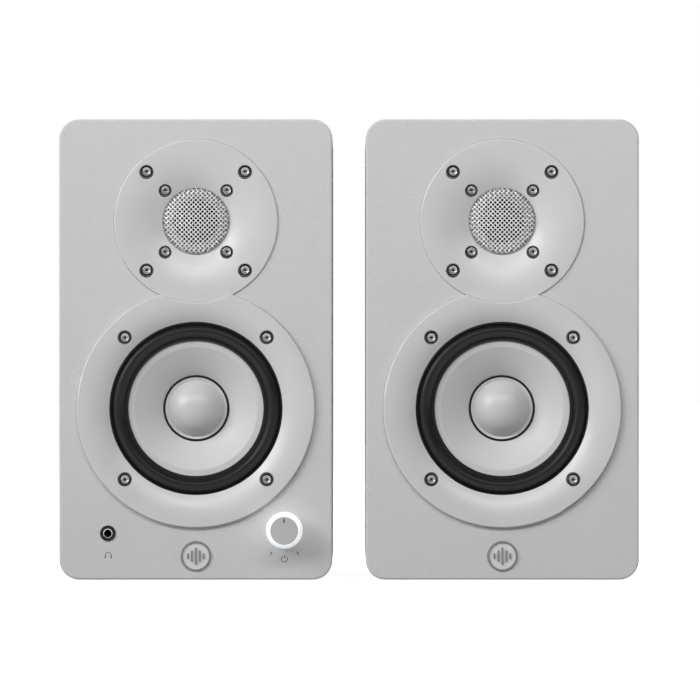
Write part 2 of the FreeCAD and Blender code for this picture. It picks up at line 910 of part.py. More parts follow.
def make_dust_cap(side):
    name = SIDE_NAMES[side] + "_woofer_dust_cap"
    inner = "cap_radius - cap_sheet / 2"
    return node(turned(name, (axis_of(side), "front_face", "woofer_level"), [
        ("0", "cap_base - cap_rise", crown("cap_radius", "cap_rise")),
        ("cap_radius", "cap_base"),
        ("cap_flange", "cap_base"),
        ("cap_flange", "cap_base + cap_sheet"),
        (inner, "cap_base + cap_sheet", f"-1 * {crown(inner, 'cap_rise')}"),
        ("0", "cap_base - cap_rise + cap_sheet"),
    ]), name)


def make_voice_coil(side):
    """The former, with its winding towards the back end."""
    name = SIDE_NAMES[side] + "_woofer_voice_coil"
    return node(turned(name, (axis_of(side), "front_face", "woofer_level"), [
        ("former_inner", "former_front"),
        ("former_outer", "former_front"),
        ("former_outer", "winding_front"),
        ("winding_outer", "winding_front"),
        ("winding_outer", "winding_back"),
        ("former_outer", "winding_back"),
        ("former_outer", "former_back"),
        ("former_inner", "former_back"),
    ]), name)


def make_spider(side):
    """The corrugated ring that keeps the coil centred, resting on the frame's shelf."""
    name = SIDE_NAMES[side] + "_woofer_spider"
    front = "shelf_front - spider_sheet"
    line = [("spider_inner", "0")]
    for wave in range(4):
        start = f"spider_first + {wave} * spider_pitch"
        line += [(start, "0"), (f"{start} + spider_pitch / 4", "-spider_wave"),
                 (f"{start} + spider_pitch * 3 / 4", "-spider_wave")]
    line.append(("spider_outer", "0"))
    section = [(radius, f"{front} + {lift}") for radius, lift in line]
    section += [(radius, f"shelf_front + {lift}") for radius, lift in reversed(line)]
    return node(turned(name, (axis_of(side), "front_face", "woofer_level"), section), name)


def make_woofer_motor(side):
    """Top plate and pole yoke of steel, with the ferrite ring between them."""
    place = (axis_of(side), "front_face", "woofer_level")
    top = "frame_floor"
    magnet_front = f"{top} + plate_depth"
    magnet_back = f"{magnet_front} + magnet_depth"
    name = SIDE_NAMES[side] + "_woofer_plates"
    plate = turned(name + "_top", place, [
        ("plate_inner", top),
        ("plate_outer", top),
        ("plate_outer", magnet_front),
        ("plate_inner", magnet_front),
    ])
    yoke = turned(name + "_yoke", place, [
        ("pole_vent", top),
        ("pole_radius", top),
        ("pole_radius", magnet_back),
        ("yoke_outer", magnet_back),
        ("yoke_outer", f"{magnet_back} + yoke_depth - rim_round", "rim_round"),
        ("yoke_outer - rim_round", f"{magnet_back} + yoke_depth"),
        ("pole_vent", f"{magnet_back} + yoke_depth"),
    ])
    node(group(name, [plate, yoke]), name)
    name = SIDE_NAMES[side] + "_woofer_magnet"
    node(turned(name, place, [
        ("magnet_inner", magnet_front),
        ("magnet_outer", magnet_front),
        ("magnet_outer", magnet_back),
        ("magnet_inner", magnet_back),
    ]), name)


# --- tweeter ------------------------------------------------------------------------------------

def make_waveguide(side):
    """The pale disc that flares in to the tweeter, with its hub let into the baffle. Its foot is cut
    back to the trim ring's bite."""
    name = SIDE_NAMES[side] + "_tweeter_waveguide"
    body = turned(name + "_disc", (axis_of(side), "front_face", "tweeter_level"), [
        ("disc_radius", "disc_sunk"),
        ("hub_radius", "disc_sunk"),
        ("hub_radius", "hub_back"),
        ("throat_radius", "hub_back"),
        ("throat_radius", "throat_front"),
        ("seat_inner", "seat_back"),
        ("seat_outer", "seat_back"),
        ("seat_outer", "seat_front", "horn_flare"),
        ("disc_radius - disc_land", "-disc_proud"),
        ("disc_radius - rim_round", "-disc_proud", "rim_round"),
        ("disc_radius", "-disc_proud + rim_round"),
    ])
    shank = "screw_shank + fit_gap / 2"
    for spread, top, flange, back in (
            ("outer_screws", "outer_screw_top", "screw_flange", "disc_sunk"),
            ("inner_screws", "inner_screw_top", "screw_flange_small", "hub_back")):
        for place in four_ways(spread):
            round_seat(body, "-disc_proud", f"{top} + screw_head_height",
                       (*place, f"{flange} + bore_gap"), "mouth_round")
        pocket(body, "0", back, circles=[(*place, shank) for place in four_ways(spread)])
    middle = axis_of(side)
    start = "front_face - disc_proud"
    reach = "disc_proud + disc_sunk"
    under_ring = without(name + "_under_ring",
        rod(name + "_ring_span", (middle, start, "woofer_level"), "ring_outer + fit_gap", reach, (0, 1, 0)),
        rod(name + "_kept", (middle, start, "tweeter_level"), "disc_bite", reach, (0, 1, 0)))
    return node(without(name, body, under_ring), name)


def make_mesh(side):
    """The bulging wire dome over the tweeter, here as a thin shell with a flat rim."""
    name = SIDE_NAMES[side] + "_tweeter_mesh"
    inner = "mesh_edge - mesh_sheet / 2"
    rim_back = "mesh_base + mesh_sheet"
    return node(turned(name, (axis_of(side), "front_face", "tweeter_level"), [
        ("0", "mesh_apex", crown("mesh_edge", "mesh_base - mesh_apex")),
        ("mesh_edge", "mesh_base"),
        ("mesh_rim", "mesh_base"),
        ("mesh_rim", rim_back),
        (inner, rim_back, f"-1 * {crown(inner, 'mesh_base - mesh_apex')}"),
        ("0", "mesh_apex + mesh_sheet"),
    ]), name)


def make_dome(side):
    """The tweeter's dome, its narrow rim and its coil former, in one piece."""
    name = SIDE_NAMES[side] + "_tweeter_dome"
    under = "dome_base + dome_sheet"
    inner = "dome_edge - dome_sheet / 2"
    return node(turned(name, (axis_of(side), "front_face", "tweeter_level"), [
        ("0", "dome_apex", crown("dome_edge", "dome_base - dome_apex")),
        ("dome_edge", "dome_base"),
        ("dome_rim", "dome_base"),
        ("dome_rim", under),
        ("dome_edge + dome_sheet / 2", under),
        ("dome_edge + dome_sheet / 2", "dome_former_back"),
        (inner, "dome_former_back"),
        (inner, under, f"-1 * {crown(inner, 'dome_base - dome_apex')}"),
        ("0", "dome_apex + dome_sheet"),
    ]), name)


def make_tweeter_motor(side):
    """The steel cup with its pole and magnet, and the flange that the inner screws hold."""
    name = SIDE_NAMES[side] + "_tweeter_motor"
    body = turned(name, (axis_of(side), "front_face", "tweeter_level"), [
        ("0", "gap_front"),
        ("gap_inner", "gap_front"),
        ("gap_inner", "gap_back"),
        ("gap_outer", "gap_back"),
        ("gap_outer", "hub_back"),
        ("motor_flange", "hub_back"),
        ("motor_flange", "motor_flange_back"),
        ("motor_radius", "motor_flange_back"),
        ("motor_radius", "motor_back"),
        ("0", "motor_back"),
    ])
    pilots = [(across, up, "screw_shank + fit_gap / 2") for across, up in four_ways("inner_screws")]
    pocket(body, "hub_back", "motor_flange_back", circles=pilots)
    return node(body, name)


# --- controls on the left speaker's front -------------------------------------------------------

def make_headphone_jack():
    name = "headphone_jack"
    across = axis_of(LEFT, "jack_across")
    return node(turned(name, (across, "front_face", "jack_level"), [
        ("jack_bore", "-jack_bezel_proud"),
        ("jack_bezel - jack_bezel_proud / 2", "-jack_bezel_proud", "jack_bezel_proud / 2"),
        ("jack_bezel", "-jack_bezel_proud / 2"),
        ("jack_bezel", "0"),
        ("jack_barrel", "0"),
        ("jack_barrel", "baffle_depth"),
        ("jack_housing", "baffle_depth"),
        ("jack_housing", "jack_back"),
        ("0", "jack_back"),
        ("0", "jack_bore_back"),
        ("jack_bore", "jack_bore_back"),
    ]), name)


def make_knob():
    """The knob turns on a stem that is pushed in to switch the power. Its skirt passes light, and a
    grey disc with a pointer groove fills its face."""
    place = (axis_of(LEFT, "knob_across"), "front_face", "knob_level")
    node(turned("knob_skirt", place, [
        ("0", "-cap_disc_seat"),
        ("cap_disc + fit_gap", "-cap_disc_seat"),
        ("cap_disc + fit_gap", "-knob_front"),
        ("knob_face_radius - knob_chamfer", "-knob_front"),
        ("knob_face_radius", "-knob_front + knob_chamfer"),
        ("knob_base", "-knob_foot"),
        ("knob_base", "-knob_lift"),
        ("hollow_foot", "-knob_lift"),
        ("hollow_top", "-boss_front"),
        ("boss_radius", "-boss_front"),
        ("boss_radius", "-knob_lift"),
        ("boss_bore", "-knob_lift"),
        ("boss_bore", "-boss_floor"),
        ("0", "-boss_floor"),
    ]), "knob_skirt")
    cap = turned("knob_cap", place, [
        ("0", "-cap_disc_front"),
        ("cap_disc - knob_chamfer", "-cap_disc_front"),
        ("cap_disc", "-cap_disc_front + knob_chamfer"),
        ("cap_disc", "-cap_disc_seat"),
        ("0", "-cap_disc_seat"),
    ])
    half = "pointer_width / 2"
    groove = upright_slot("0", f"pointer_inner + {half}", f"pointer_outer - {half}", half)
    pocket(cap, "-cap_disc_front", "-cap_disc_front + pointer_depth", [groove])
    node(cap, "knob_cap")
    node(turned("knob_plunger", place, [
        ("0", "-stem_front"),
        ("stem_radius - knob_chamfer", "-stem_front"),
        ("stem_radius", "-stem_front + knob_chamfer"),
        ("stem_radius", "stem_back"),
        ("0", "stem_back"),
    ]), "knob_plunger")


def make_control_board():
    """The small board behind the knob: encoder housing round the stem, and two spacers."""
    name = "control_board"
    place = (axis_of(LEFT, "knob_across"), "front_face", "knob_level")
    board = new_body(name + "_sheet", place)
    pad(board, "board_front", "board_front + board_sheet",
        [middle_rectangle("board_across", "board_height", "board_corner")])
    housing = new_body(name + "_encoder", place)
    pad(housing, "encoder_front", "board_front",
        [middle_rectangle("encoder_side", "encoder_side", "encoder_corner")])
    pocket(housing, "encoder_front", "encoder_floor", circles=[("0", "0", "stem_hole")])
    spacer = turned(name + "_spacer", ("0", "0", "0"), [
        ("0", "baffle_depth"),
        ("spacer_radius", "baffle_depth"),
        ("spacer_radius", "board_front"),
        ("0", "board_front"),
    ])
    spacers = copies(name + "_spacers", spacer, [
        (f"{place[0]} + {way} * spacer_spread", place[1], place[2]) for way in (-1, 1)])
    return node(group(name, [board, housing, spacers]), name)


# --- rear panel of the left speaker -------------------------------------------------------------

def panel_screws():
    """Where the panel's six screws go: along its left and right edges."""
    low = "panel_bottom + panel_screw_inset"
    high = "panel_top - panel_screw_inset"
    levels = (low, f"({low} + {high}) / 2", high)
    return [(f"{way} * (panel_width / 2 - panel_screw_margin)", level)
            for way in (-1, 1) for level in levels]


def rear_place(across, level, lift="panel_sheet"):
    """A place on the left speaker's back, on the panel's face unless told otherwise."""
    return (axis_of(LEFT, across), f"rear_face + {lift}", level)


def make_rear_panel():
    """A steel sheet with a hole for each socket, switch and terminal."""
    name = "rear_panel"
    body = new_body(name, (axis_of(LEFT), "rear_face", "0"))
    half = "panel_width / 2"
    pad(body, "0", "panel_sheet",
        [rounded_rectangle(f"-1 * {half}", "panel_bottom", half, "panel_top", "panel_corner")])
    circles = [(across, "combo_level", "combo_housing + fit_gap")
               for across in ("combo_left", "combo_right")]
    circles += [(across, "phono_level", "phono_outer + fit_gap")
                for across in ("phono_left", "phono_right")]
    circles.append(("mini_across", "mini_level", "jack_barrel + fit_gap"))
    circles += [(across, level, "panel_screw_shank + fit_gap / 2") for across, level in panel_screws()]
    slots = []
    for across in ("room_across", "trim_across"):
        reach = "slider_travel + slider_width / 2 + slider_gap"
        slots.append(rectangle(f"{across} - ({reach})", "switch_level - slot_height / 2",
                               f"{across} + {reach}", "switch_level + slot_height / 2"))
    mains = middle_rectangle("mains_body_width + 2 * fit_gap", "mains_body_height + 2 * fit_gap",
                             "mains_corner", "mains_level")
    clip = middle_rectangle("clip_body_width + 2 * fit_gap", "clip_body_height + 2 * fit_gap",
                            "clip_corner", "clip_level")
    slots += [shifted(mains, "mains_across"), shifted(clip, "clip_across")]
    pocket(body, "0", "panel_sheet", slots, circles)
    return node(body, name)


def make_panel_screws():
    """Round-headed screws with a cross recess, driven from behind."""
    name = "rear_panel_screws"
    screw = turned(name + "_master", ("0", "0", "0"), [
        ("0", "-panel_screw_reach"),
        ("panel_screw_shank", "-panel_screw_reach"),
        ("panel_screw_shank", "0"),
        ("panel_screw_head", "0", crown("panel_screw_head", "panel_screw_proud")),
        ("0", "panel_screw_proud"),
    ])
    arm = "cross_arm"
    blade = "cross_blade"
    cross = [(arm, blade), (blade, blade), (blade, arm), (f"-{blade}", arm), (f"-{blade}", blade),
             (f"-{arm}", blade), (f"-{arm}", f"-{blade}"), (f"-{blade}", f"-{blade}"),
             (f"-{blade}", f"-{arm}"), (blade, f"-{arm}"), (blade, f"-{blade}"), (arm, f"-{blade}")]
    pocket(screw, "panel_screw_proud / 2", "panel_screw_proud", [cross])
    places = [rear_place(across, level) for across, level in panel_screws()]
    return node(copies(name, screw, places), name)


def make_combo_jacks():
    """Two sockets that take either a three-pin plug or a quarter-inch plug."""
    name = "combo_jacks"
    body = new_body(name + "_master", ("0", "0", "0"))
    pad(body, "0", "combo_flange", [middle_rectangle("combo_width", "combo_height", "combo_corner")])
    pad(body, "-combo_depth", "0", circles=[("0", "0", "combo_housing")])
    face = "combo_flange - combo_recess"
    pocket(body, face, "combo_flange", circles=[("0", "0", "combo_face")])
    pocket(body, "combo_flange - combo_bore_depth", "combo_flange", circles=[("0", "0", "combo_bore")])
    pins = [(f"{round(math.cos(math.radians(turn)), 5)} * pin_ring",
             f"{round(math.sin(math.radians(turn)), 5)} * pin_ring", "pin_hole") for turn in (0, 180, 270)]
    pocket(body, "combo_flange - combo_bore_depth", "combo_flange", circles=pins)
    places = [rear_place(across, "combo_level") for across in ("combo_left", "combo_right")]
    return node(copies(name, body, places), name)


def make_line_jacks():
    """Two phono sockets standing proud of the panel, and one mini jack."""
    name = "line_jacks"
    phono = turned(name + "_phono", ("0", "0", "0"), [
        ("0", "-phono_depth"),
        ("phono_outer", "-phono_depth"),
        ("phono_outer", "0"),
        ("phono_collar", "0"),
        ("phono_collar", "panel_sheet"),
        ("phono_outer", "panel_sheet"),
        ("phono_outer", "phono_proud"),
        ("phono_outer - phono_wall", "phono_proud"),
        ("phono_outer - phono_wall", "phono_proud - phono_cup"),
        ("phono_core", "phono_proud - phono_cup"),
        ("phono_core", "phono_proud - phono_wall"),
        ("phono_bore", "phono_proud - phono_wall"),
        ("phono_bore", "-phono_depth / 2"),
        ("0", "-phono_depth / 2"),
    ])
    mini = turned(name + "_mini", rear_place("mini_across", "mini_level"), [
        ("0", "-jack_back"),
        ("jack_housing", "-jack_back"),
        ("jack_housing", "-panel_sheet"),
        ("jack_barrel", "-panel_sheet"),
        ("jack_barrel", "0"),
        ("jack_housing", "0"),
        ("jack_housing", "mini_proud"),
        ("jack_bore", "mini_proud"),
        ("jack_bore", "-jack_bore_back"),
        ("0", "-jack_bore_back"),
    ])
    phonos = copies(name + "_phonos", phono, [
        rear_place(across, "phono_level") for across in ("phono_left", "phono_right")])
    return node(group(name, [phonos, mini]), name)


def make_slider(name, across):
    """The nub of a slide switch, standing in the middle of its slot."""
    corner = (axis_of(LEFT, f"{across} - slider_width / 2"), "rear_face + slider_back",
              "switch_level - slider_height / 2")
    reach = "panel_sheet + slider_proud - slider_back"
    return node(box(name, corner, ("slider_width", reach, "slider_height")), name)


def make_mains_inlet():
    """A two-pin inlet: a figure-of-eight recess with a pin in each lobe."""
    name = "mains_inlet"
    place = rear_place("mains_across", "mains_level")
    body = new_body(name + "_shell", place)
    pad(body, "0", "mains_flange", [middle_rectangle("mains_width", "mains_height", "mains_corner")])
    pad(body, "mains_flange - mains_depth", "0",
        [middle_rectangle("mains_body_width", "mains_body_height", "mains_corner")])
    upright = upright_slot("0", "-mains_pin_spread", "mains_pin_spread", "mains_lobe")
    recess = [(up, f"-1 * ({across})", *arc) for across, up, *arc in upright]
    pocket(body, "mains_flange - mains_recess", "mains_flange", [recess])
    pins = [rod(name + "_pin", (f"{place[0]} + {way} * mains_pin_spread",
                                f"{place[1]} + mains_flange - mains_recess", place[2]),
                "mains_pin", "mains_recess - mains_pin_short", (0, 1, 0)) for way in (-1, 1)]
    return node(group(name, [body] + pins), name)


def make_amplifier_board():
    """The board with its posts, heat sink, transformer and three capacitors."""
    name = "amplifier_board"
    behind = "rear_face + amp_depth"
    middle = axis_of(LEFT)
    half = "amp_width / 2"
    pieces = [box(name + "_sheet", (f"{middle} - {half}", behind, "amp_bottom"),
                  ("amp_width", "board_sheet", "amp_top - amp_bottom"))]
    for way in (-1, 1):
        for level in ("amp_bottom + amp_post_inset", "amp_top - amp_post_inset"):
            across = f"{middle} + {way} * ({half} - amp_post_inset / 2)"
            pieces.append(rod(name + "_post", (across, f"{behind} + board_sheet", level), "amp_post",
                              "-amp_depth - board_sheet", (0, 1, 0)))
    pieces.append(box(name + "_heat_sink",
                      (f"{middle} - sink_width / 2", f"{behind} - sink_depth", "sink_level"),
                      ("sink_width", "sink_depth", "sink_height")))
    pieces.append(box(name + "_transformer",
                      (f"{middle} - {half} + amp_post", f"{behind} - transformer_depth",
                       "amp_bottom + amp_post"),
                      ("transformer_side", "transformer_depth", "transformer_side")))
    for place in range(3):
        across = f"{middle} + {place} * capacitor_pitch"
        pieces.append(rod(name + "_capacitor", (across, behind, "amp_bottom + transformer_side"),
                          "capacitor_radius", "capacitor_depth", (0, -1, 0)))
    return node(group(name, pieces), name)


# --- terminals ----------------------------------------------------------------------------------

def clip_place(side):
    """The left block sits on the steel panel, the right one on the cabinet itself."""
    lift = "panel_sheet" if side == LEFT else "0"
    return (axis_of(side, "clip_across"), f"rear_face + {lift}", "clip_level")


def make_terminal_block(side):
    """A block with a pocket and a wire hole for each of its two levers."""
    name = SIDE_NAMES[side] + "_terminal_block"
    place = clip_place(side)
    body = new_body(name + "_shell", place)
    pad(body, "0", "clip_flange", [middle_rectangle("clip_width", "clip_height", "clip_corner")])
    pad(body, "-clip_body_depth", "0",
        [middle_rectangle("clip_body_width", "clip_body_height", "clip_corner")])
    pockets = []
    holes = []
    for way in (-1, 1):
        across = f"{way} * lever_spread"
        half = "lever_width / 2 + lever_gap"
        pockets.append(rectangle(f"{across} - ({half})", "lever_foot - pin_radius - lever_gap",
                                 f"{across} + {half}", "lever_foot + lever_height + pocket_headroom"))
        holes.append((across, "-wire_hole_drop", "wire_hole"))
    pocket(body, "-pocket_depth", "clip_flange", pockets)
    pocket(body, "clip_flange - wire_hole_depth", "clip_flange", circles=holes)
    span = "lever_width + 2 * pin_overhang + 2 * fit_gap"
    bearings = [rod(name + "_bearing", pin_place(side, way, span), "pin_radius + pin_gap", span, (1, 0, 0))
                for way in (-1, 1)]
    return node(without(name, body, group(name + "_bearings", bearings)), name)


def pin_place(side, way, span):
    """The left end of a lever's pin of the given length."""
    across, depth, level = clip_place(side)
    return (f"{across} + {way} * lever_spread - ({span}) / 2", f"{depth} + pin_depth",
            f"{level} + lever_foot")


def make_lever(side, way, colour):
    """A flat tab on a round pin. Its top end is pressed in to open the clip below it."""
    name = f"{SIDE_NAMES[side]}_{colour}_lever"
    across, depth, level = clip_place(side)
    span = "lever_width + 2 * pin_overhang"
    pin = rod(name + "_pin", pin_place(side, way, span), "pin_radius", span, (1, 0, 0))
    left = f"{across} + {way} * lever_spread - lever_width / 2"
    foot = f"{level} + lever_foot"
    back = "pin_depth - pin_radius"
    root = box(name + "_root", (left, f"{depth} + {back}", foot),
               ("lever_width", f"lever_proud - ({back})", "lever_root"))
    tab = box(name + "_tab", (left, f"{depth} + lever_proud - lever_sheet", foot),
              ("lever_width", "lever_sheet", "lever_height"))
    return node(fused(name, [pin, root, tab]), name)


def make_crossover():
    """The right speaker's crossover: a board with two coils and two film capacitors."""
    name = "crossover_board"
    middle = axis_of(RIGHT)
    behind = "rear_face - wall - crossover_lift"
    front = f"{behind} - board_sheet"
    corner = (f"{middle} - crossover_width / 2", front, "crossover_level - crossover_height / 2")
    pieces = [box(name + "_sheet", corner, ("crossover_width", "board_sheet", "crossover_height"))]
    pieces += [rod(name + "_post", (f"{middle} + {way} * (crossover_width / 2 - amp_post_inset)", behind,
                                    "crossover_level"), "amp_post", "crossover_lift", (0, 1, 0))
               for way in (-1, 1)]
    for way in (-1, 1):
        pieces.append(turned(name + "_coil", (f"{middle} + {way} * coil_spread", front,
                                              "crossover_level + coil_radius"), [
            ("coil_bore", "-coil_depth"),
            ("coil_radius", "-coil_depth"),
            ("coil_radius", "0"),
            ("coil_bore", "0"),
        ]))
        pieces.append(box(name + "_film",
                          (f"{middle} + {way} * coil_spread - film_width / 2", f"{front} - film_depth",
                           "film_level"),
                          ("film_width", "film_depth", "film_height")))
    return node(group(name, pieces), name)


# --- the whole pair -----------------------------------------------------------------------------

def make_speaker(side, long_screw, short_screw):
    """Everything that both speakers have."""
    make_cabinet(side)
    make_baffle(side)
    make_pads(side)
    make_badge(side)
    make_port(side)
    make_trim_ring(side)
    make_woofer_frame(side)
    make_surround(side)
    make_cone(side)
    make_dust_cap(side)
    make_voice_coil(side)
    make_spider(side)
    make_woofer_motor(side)
    make_waveguide(side)
    make_mesh(side)
    make_dome(side)
    make_tweeter_motor(side)
    make_driver_screws(side, long_screw, short_screw)
    make_terminal_block(side)
    make_lever(side, -1, "black")
    make_lever(side, 1, "red")


def make_left_extras():
    make_headphone_jack()
    make_knob()
    make_control_board()
    make_rear_panel()
    make_panel_screws()
    make_combo_jacks()
    make_line_jacks()
    make_slider("room_control_switch", "room_across")
    make_slider("high_trim_switch", "trim_across")
    make_mains_inlet()
    make_amplifier_board()


def check_and_export():
    doc.recompute()
    for thing in doc.Objects:
        if "Invalid" in thing.State or "Error" in thing.State:
            raise ValueError(f"{thing.Label} did not recompute: {thing.State}")
    for thing in nodes:
        if thing.Shape.isNull() or not thing.Shape.isValid() or thing.Shape.Volume <= 0:
            raise ValueError(f"{thing.Label} has no valid shape")
    os.makedirs("parts", exist_ok=True)
    for thing in nodes:
        thing.Shape.exportStep(f"parts/{thing.Label}.step")
        solids = len(thing.Shape.Solids)
        print(f"{thing.Label}: {solids} solid(s), {thing.Shape.Volume / 1000:.2f} cm3")
    print(len(nodes), "nodes")


fill_sheet()
driver_screw = make_screw("driver_screw", "screw_flange", "screw_reach")
inner_screw = make_screw("inner_screw", "screw_flange_small", "screw_reach_small")
for speaker_side in (LEFT, RIGHT):
    make_speaker(speaker_side, driver_screw, inner_screw)
make_left_extras()
make_crossover()
check_and_export()
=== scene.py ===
"""Looks of a pair of small powered two-way monitors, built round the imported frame.

Lengths in the tables below are millimetres; everything handed to Blender is metres. The fronts face -Y.
"""
import math

import bmesh
import bpy
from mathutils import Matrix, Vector


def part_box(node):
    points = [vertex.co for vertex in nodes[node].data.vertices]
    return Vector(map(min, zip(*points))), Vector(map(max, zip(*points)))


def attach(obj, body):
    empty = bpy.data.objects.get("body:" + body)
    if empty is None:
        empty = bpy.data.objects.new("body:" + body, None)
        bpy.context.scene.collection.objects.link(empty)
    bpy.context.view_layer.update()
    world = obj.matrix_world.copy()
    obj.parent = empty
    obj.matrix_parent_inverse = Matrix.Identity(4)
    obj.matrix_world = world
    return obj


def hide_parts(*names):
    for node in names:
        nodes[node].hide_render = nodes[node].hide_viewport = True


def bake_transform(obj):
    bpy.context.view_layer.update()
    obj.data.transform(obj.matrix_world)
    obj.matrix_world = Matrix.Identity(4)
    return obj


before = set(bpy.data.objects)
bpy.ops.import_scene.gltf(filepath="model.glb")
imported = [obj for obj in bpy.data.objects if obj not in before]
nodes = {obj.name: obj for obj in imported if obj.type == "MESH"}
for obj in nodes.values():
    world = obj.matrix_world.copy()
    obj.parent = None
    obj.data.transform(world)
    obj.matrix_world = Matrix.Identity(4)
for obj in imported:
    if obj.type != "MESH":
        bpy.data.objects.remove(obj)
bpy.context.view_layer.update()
scene = bpy.context.scene

MM = 0.001
SIDES = ("left", "right")
COMBO_PINS = [math.radians(turn) for turn in (0, 180, 270)]
PRINT = (0.04, -0.02)    # front and back of the ink on the rear panel


# --- places, all read from the frame ------------------------------------------------------------

def middle(node):
    low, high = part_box(node)
    return (low + high) / 2


def front_of(node):
    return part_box(node)[0].y


FRONT = front_of("left_front_baffle")


def driver_centre(side, driver):
    """The centre of a driver, in the plane of the baffle's front."""
    place = middle(f"{side}_woofer_cone" if driver == "woofer" else f"{side}_tweeter_waveguide")
    return Vector((place.x, FRONT, place.z))


# --- camera and light ---------------------------------------------------------------------------

def make_camera():
    """A long lens, level with the middle of the picture, straight on to the fronts."""
    view_width = 0.3382
    distance = 3.4
    camera = bpy.data.cameras.new("camera")
    camera.sensor_width = 36
    camera.lens = camera.sensor_width * distance / view_width
    camera.clip_start, camera.clip_end = 0.05, 100
    holder = bpy.data.objects.new("camera", camera)
    holder.location = (0.00045, FRONT - distance, 0.11155)
    holder.rotation_euler = (math.radians(90), 0, 0)
    scene.collection.objects.link(holder)
    scene.camera = holder


def area_light(name, place, target, size, power, stretch=1.0):
    """A soft light that the camera doesn't see; stretch makes it longer along X."""
    light = bpy.data.lights.new(name, "AREA")
    light.shape = "ELLIPSE"
    light.size = size * stretch
    light.size_y = size
    light.energy = power
    holder = bpy.data.objects.new(name, light)
    holder.location = place
    holder.rotation_euler = (Vector(target) - Vector(place)).to_track_quat("-Z", "Y").to_euler()
    holder.visible_camera = False
    scene.collection.objects.link(holder)


def make_light():
    scene.view_settings.view_transform = "Standard"
    scene.world = bpy.data.worlds.new("room")
    scene.world.use_nodes = True
    room = scene.world.node_tree.nodes["Background"]
    room.inputs["Color"].default_value = (1, 1, 1, 1)
    room.inputs["Strength"].default_value = 0.2
    centre = (0, 0, 0.11)
    area_light("key", (-3.0, -1.9, 1.75), centre, 2.2, 80)
    area_light("top_strip", (0, -0.75, 0.66), (0, -0.08, 0.16), 0.16, 5.6, stretch=12)
    area_light("back_left", (-1.6, 2.2, 1.5), centre, 1.4, 24)
    area_light("back_right", (2.2, 1.4, 1.2), centre, 1.4, 24)


def emission_material(name, colour, strength):
    made = bpy.data.materials.new(name)
    made.use_nodes = True
    made.node_tree.nodes.clear()
    glow = made.node_tree.nodes.new("ShaderNodeEmission")
    glow.inputs["Color"].default_value = (*colour, 1)
    glow.inputs["Strength"].default_value = strength
    out = made.node_tree.nodes.new("ShaderNodeOutputMaterial")
    made.node_tree.links.new(glow.outputs[0], out.inputs[0])
    return made


def make_stage():
    """A pale floor, and a white shell round everything that only the camera sees."""
    bpy.ops.mesh.primitive_plane_add(size=24)
    floor = bpy.context.object
    floor.name = "floor"
    pale = bpy.data.materials.new("floor_pale")
    pale.use_nodes = True
    shader = pale.node_tree.nodes["Principled BSDF"]
    shader.inputs["Base Color"].default_value = (0.9, 0.9, 0.9, 1)
    shader.inputs["Roughness"].default_value = 0.9
    shader.inputs["Emission Color"].default_value = (1, 1, 1, 1)
    shader.inputs["Emission Strength"].default_value = 0.84
    floor.data.materials.append(pale)
    bpy.ops.mesh.primitive_uv_sphere_add(radius=11, segments=48, ring_count=24)
    shell = bpy.context.object
    shell.name = "backdrop"
    shell.data.materials.append(emission_material("backdrop_white", (1, 1, 1), 1.0))
    for ray in ("visible_diffuse", "visible_glossy", "visible_transmission", "visible_volume_scatter",
                "visible_shadow"):
        setattr(shell, ray, False)
    floor.visible_diffuse = False


# --- materials ----------------------------------------------------------------------------------

def texture_space(tree):
    return tree.nodes.new("ShaderNodeTexCoord").outputs["Object"]


def noise(tree, space, scale, detail=2.0, roughness=0.5):
    made = tree.nodes.new("ShaderNodeTexNoise")
    made.inputs["Scale"].default_value = scale
    made.inputs["Detail"].default_value = detail
    made.inputs["Roughness"].default_value = roughness
    tree.links.new(space, made.inputs["Vector"])
    return made.outputs["Fac"]


def between(tree, factor, low, high):
    """A factor from 0 to 1 spread between two values or two colours."""
    ramp = tree.nodes.new("ShaderNodeValToRGB")
    for stop, shade in zip(ramp.color_ramp.elements, (low, high)):
        stop.color = (*shade, 1) if isinstance(shade, tuple) else (shade, shade, shade, 1)
    ramp.color_ramp.elements[0].position = 0.3
    ramp.color_ramp.elements[1].position = 0.7
    tree.links.new(factor, ramp.inputs["Fac"])
    return ramp.outputs["Color"]


def shade(colour, change):
    return tuple(min(1.0, channel * change) for channel in colour)


def surface(name, colour, roughness, metallic=0.0, mottle=0.04, mottle_scale=60.0, grain_scale=1500.0,
            grain_height=0.02, sheen=0.0, specular=0.5, glow=None):
    """A moulded or painted surface: slightly uneven colour and gloss, and a fine grain in relief.
    Scales are in noise cells to a metre, and the grain's height is in millimetres."""
    rough_change = 0.06
    made = bpy.data.materials.new(name)
    made.use_nodes = True
    tree = made.node_tree
    shader = tree.nodes["Principled BSDF"]
    space = texture_space(tree)
    cloud = noise(tree, space, mottle_scale, 3.0)
    grain = noise(tree, space, grain_scale, 2.0, 0.6)
    tree.links.new(between(tree, cloud, shade(colour, 1 - mottle), shade(colour, 1 + mottle)),
                   shader.inputs["Base Color"])
    tree.links.new(between(tree, cloud, max(0.0, roughness - rough_change),
                           min(1.0, roughness + rough_change)), shader.inputs["Roughness"])
    bump = tree.nodes.new("ShaderNodeBump")
    bump.inputs["Strength"].default_value = 1.0
    bump.inputs["Distance"].default_value = grain_height * MM
    tree.links.new(grain, bump.inputs["Height"])
    tree.links.new(bump.outputs["Normal"], shader.inputs["Normal"])
    shader.inputs["Metallic"].default_value = metallic
    shader.inputs["Specular IOR Level"].default_value = specular
    shader.inputs["Sheen Weight"].default_value = sheen
    if glow:
        shader.inputs["Emission Color"].default_value = (*glow[0], 1)
        shader.inputs["Emission Strength"].default_value = glow[1]
    return made


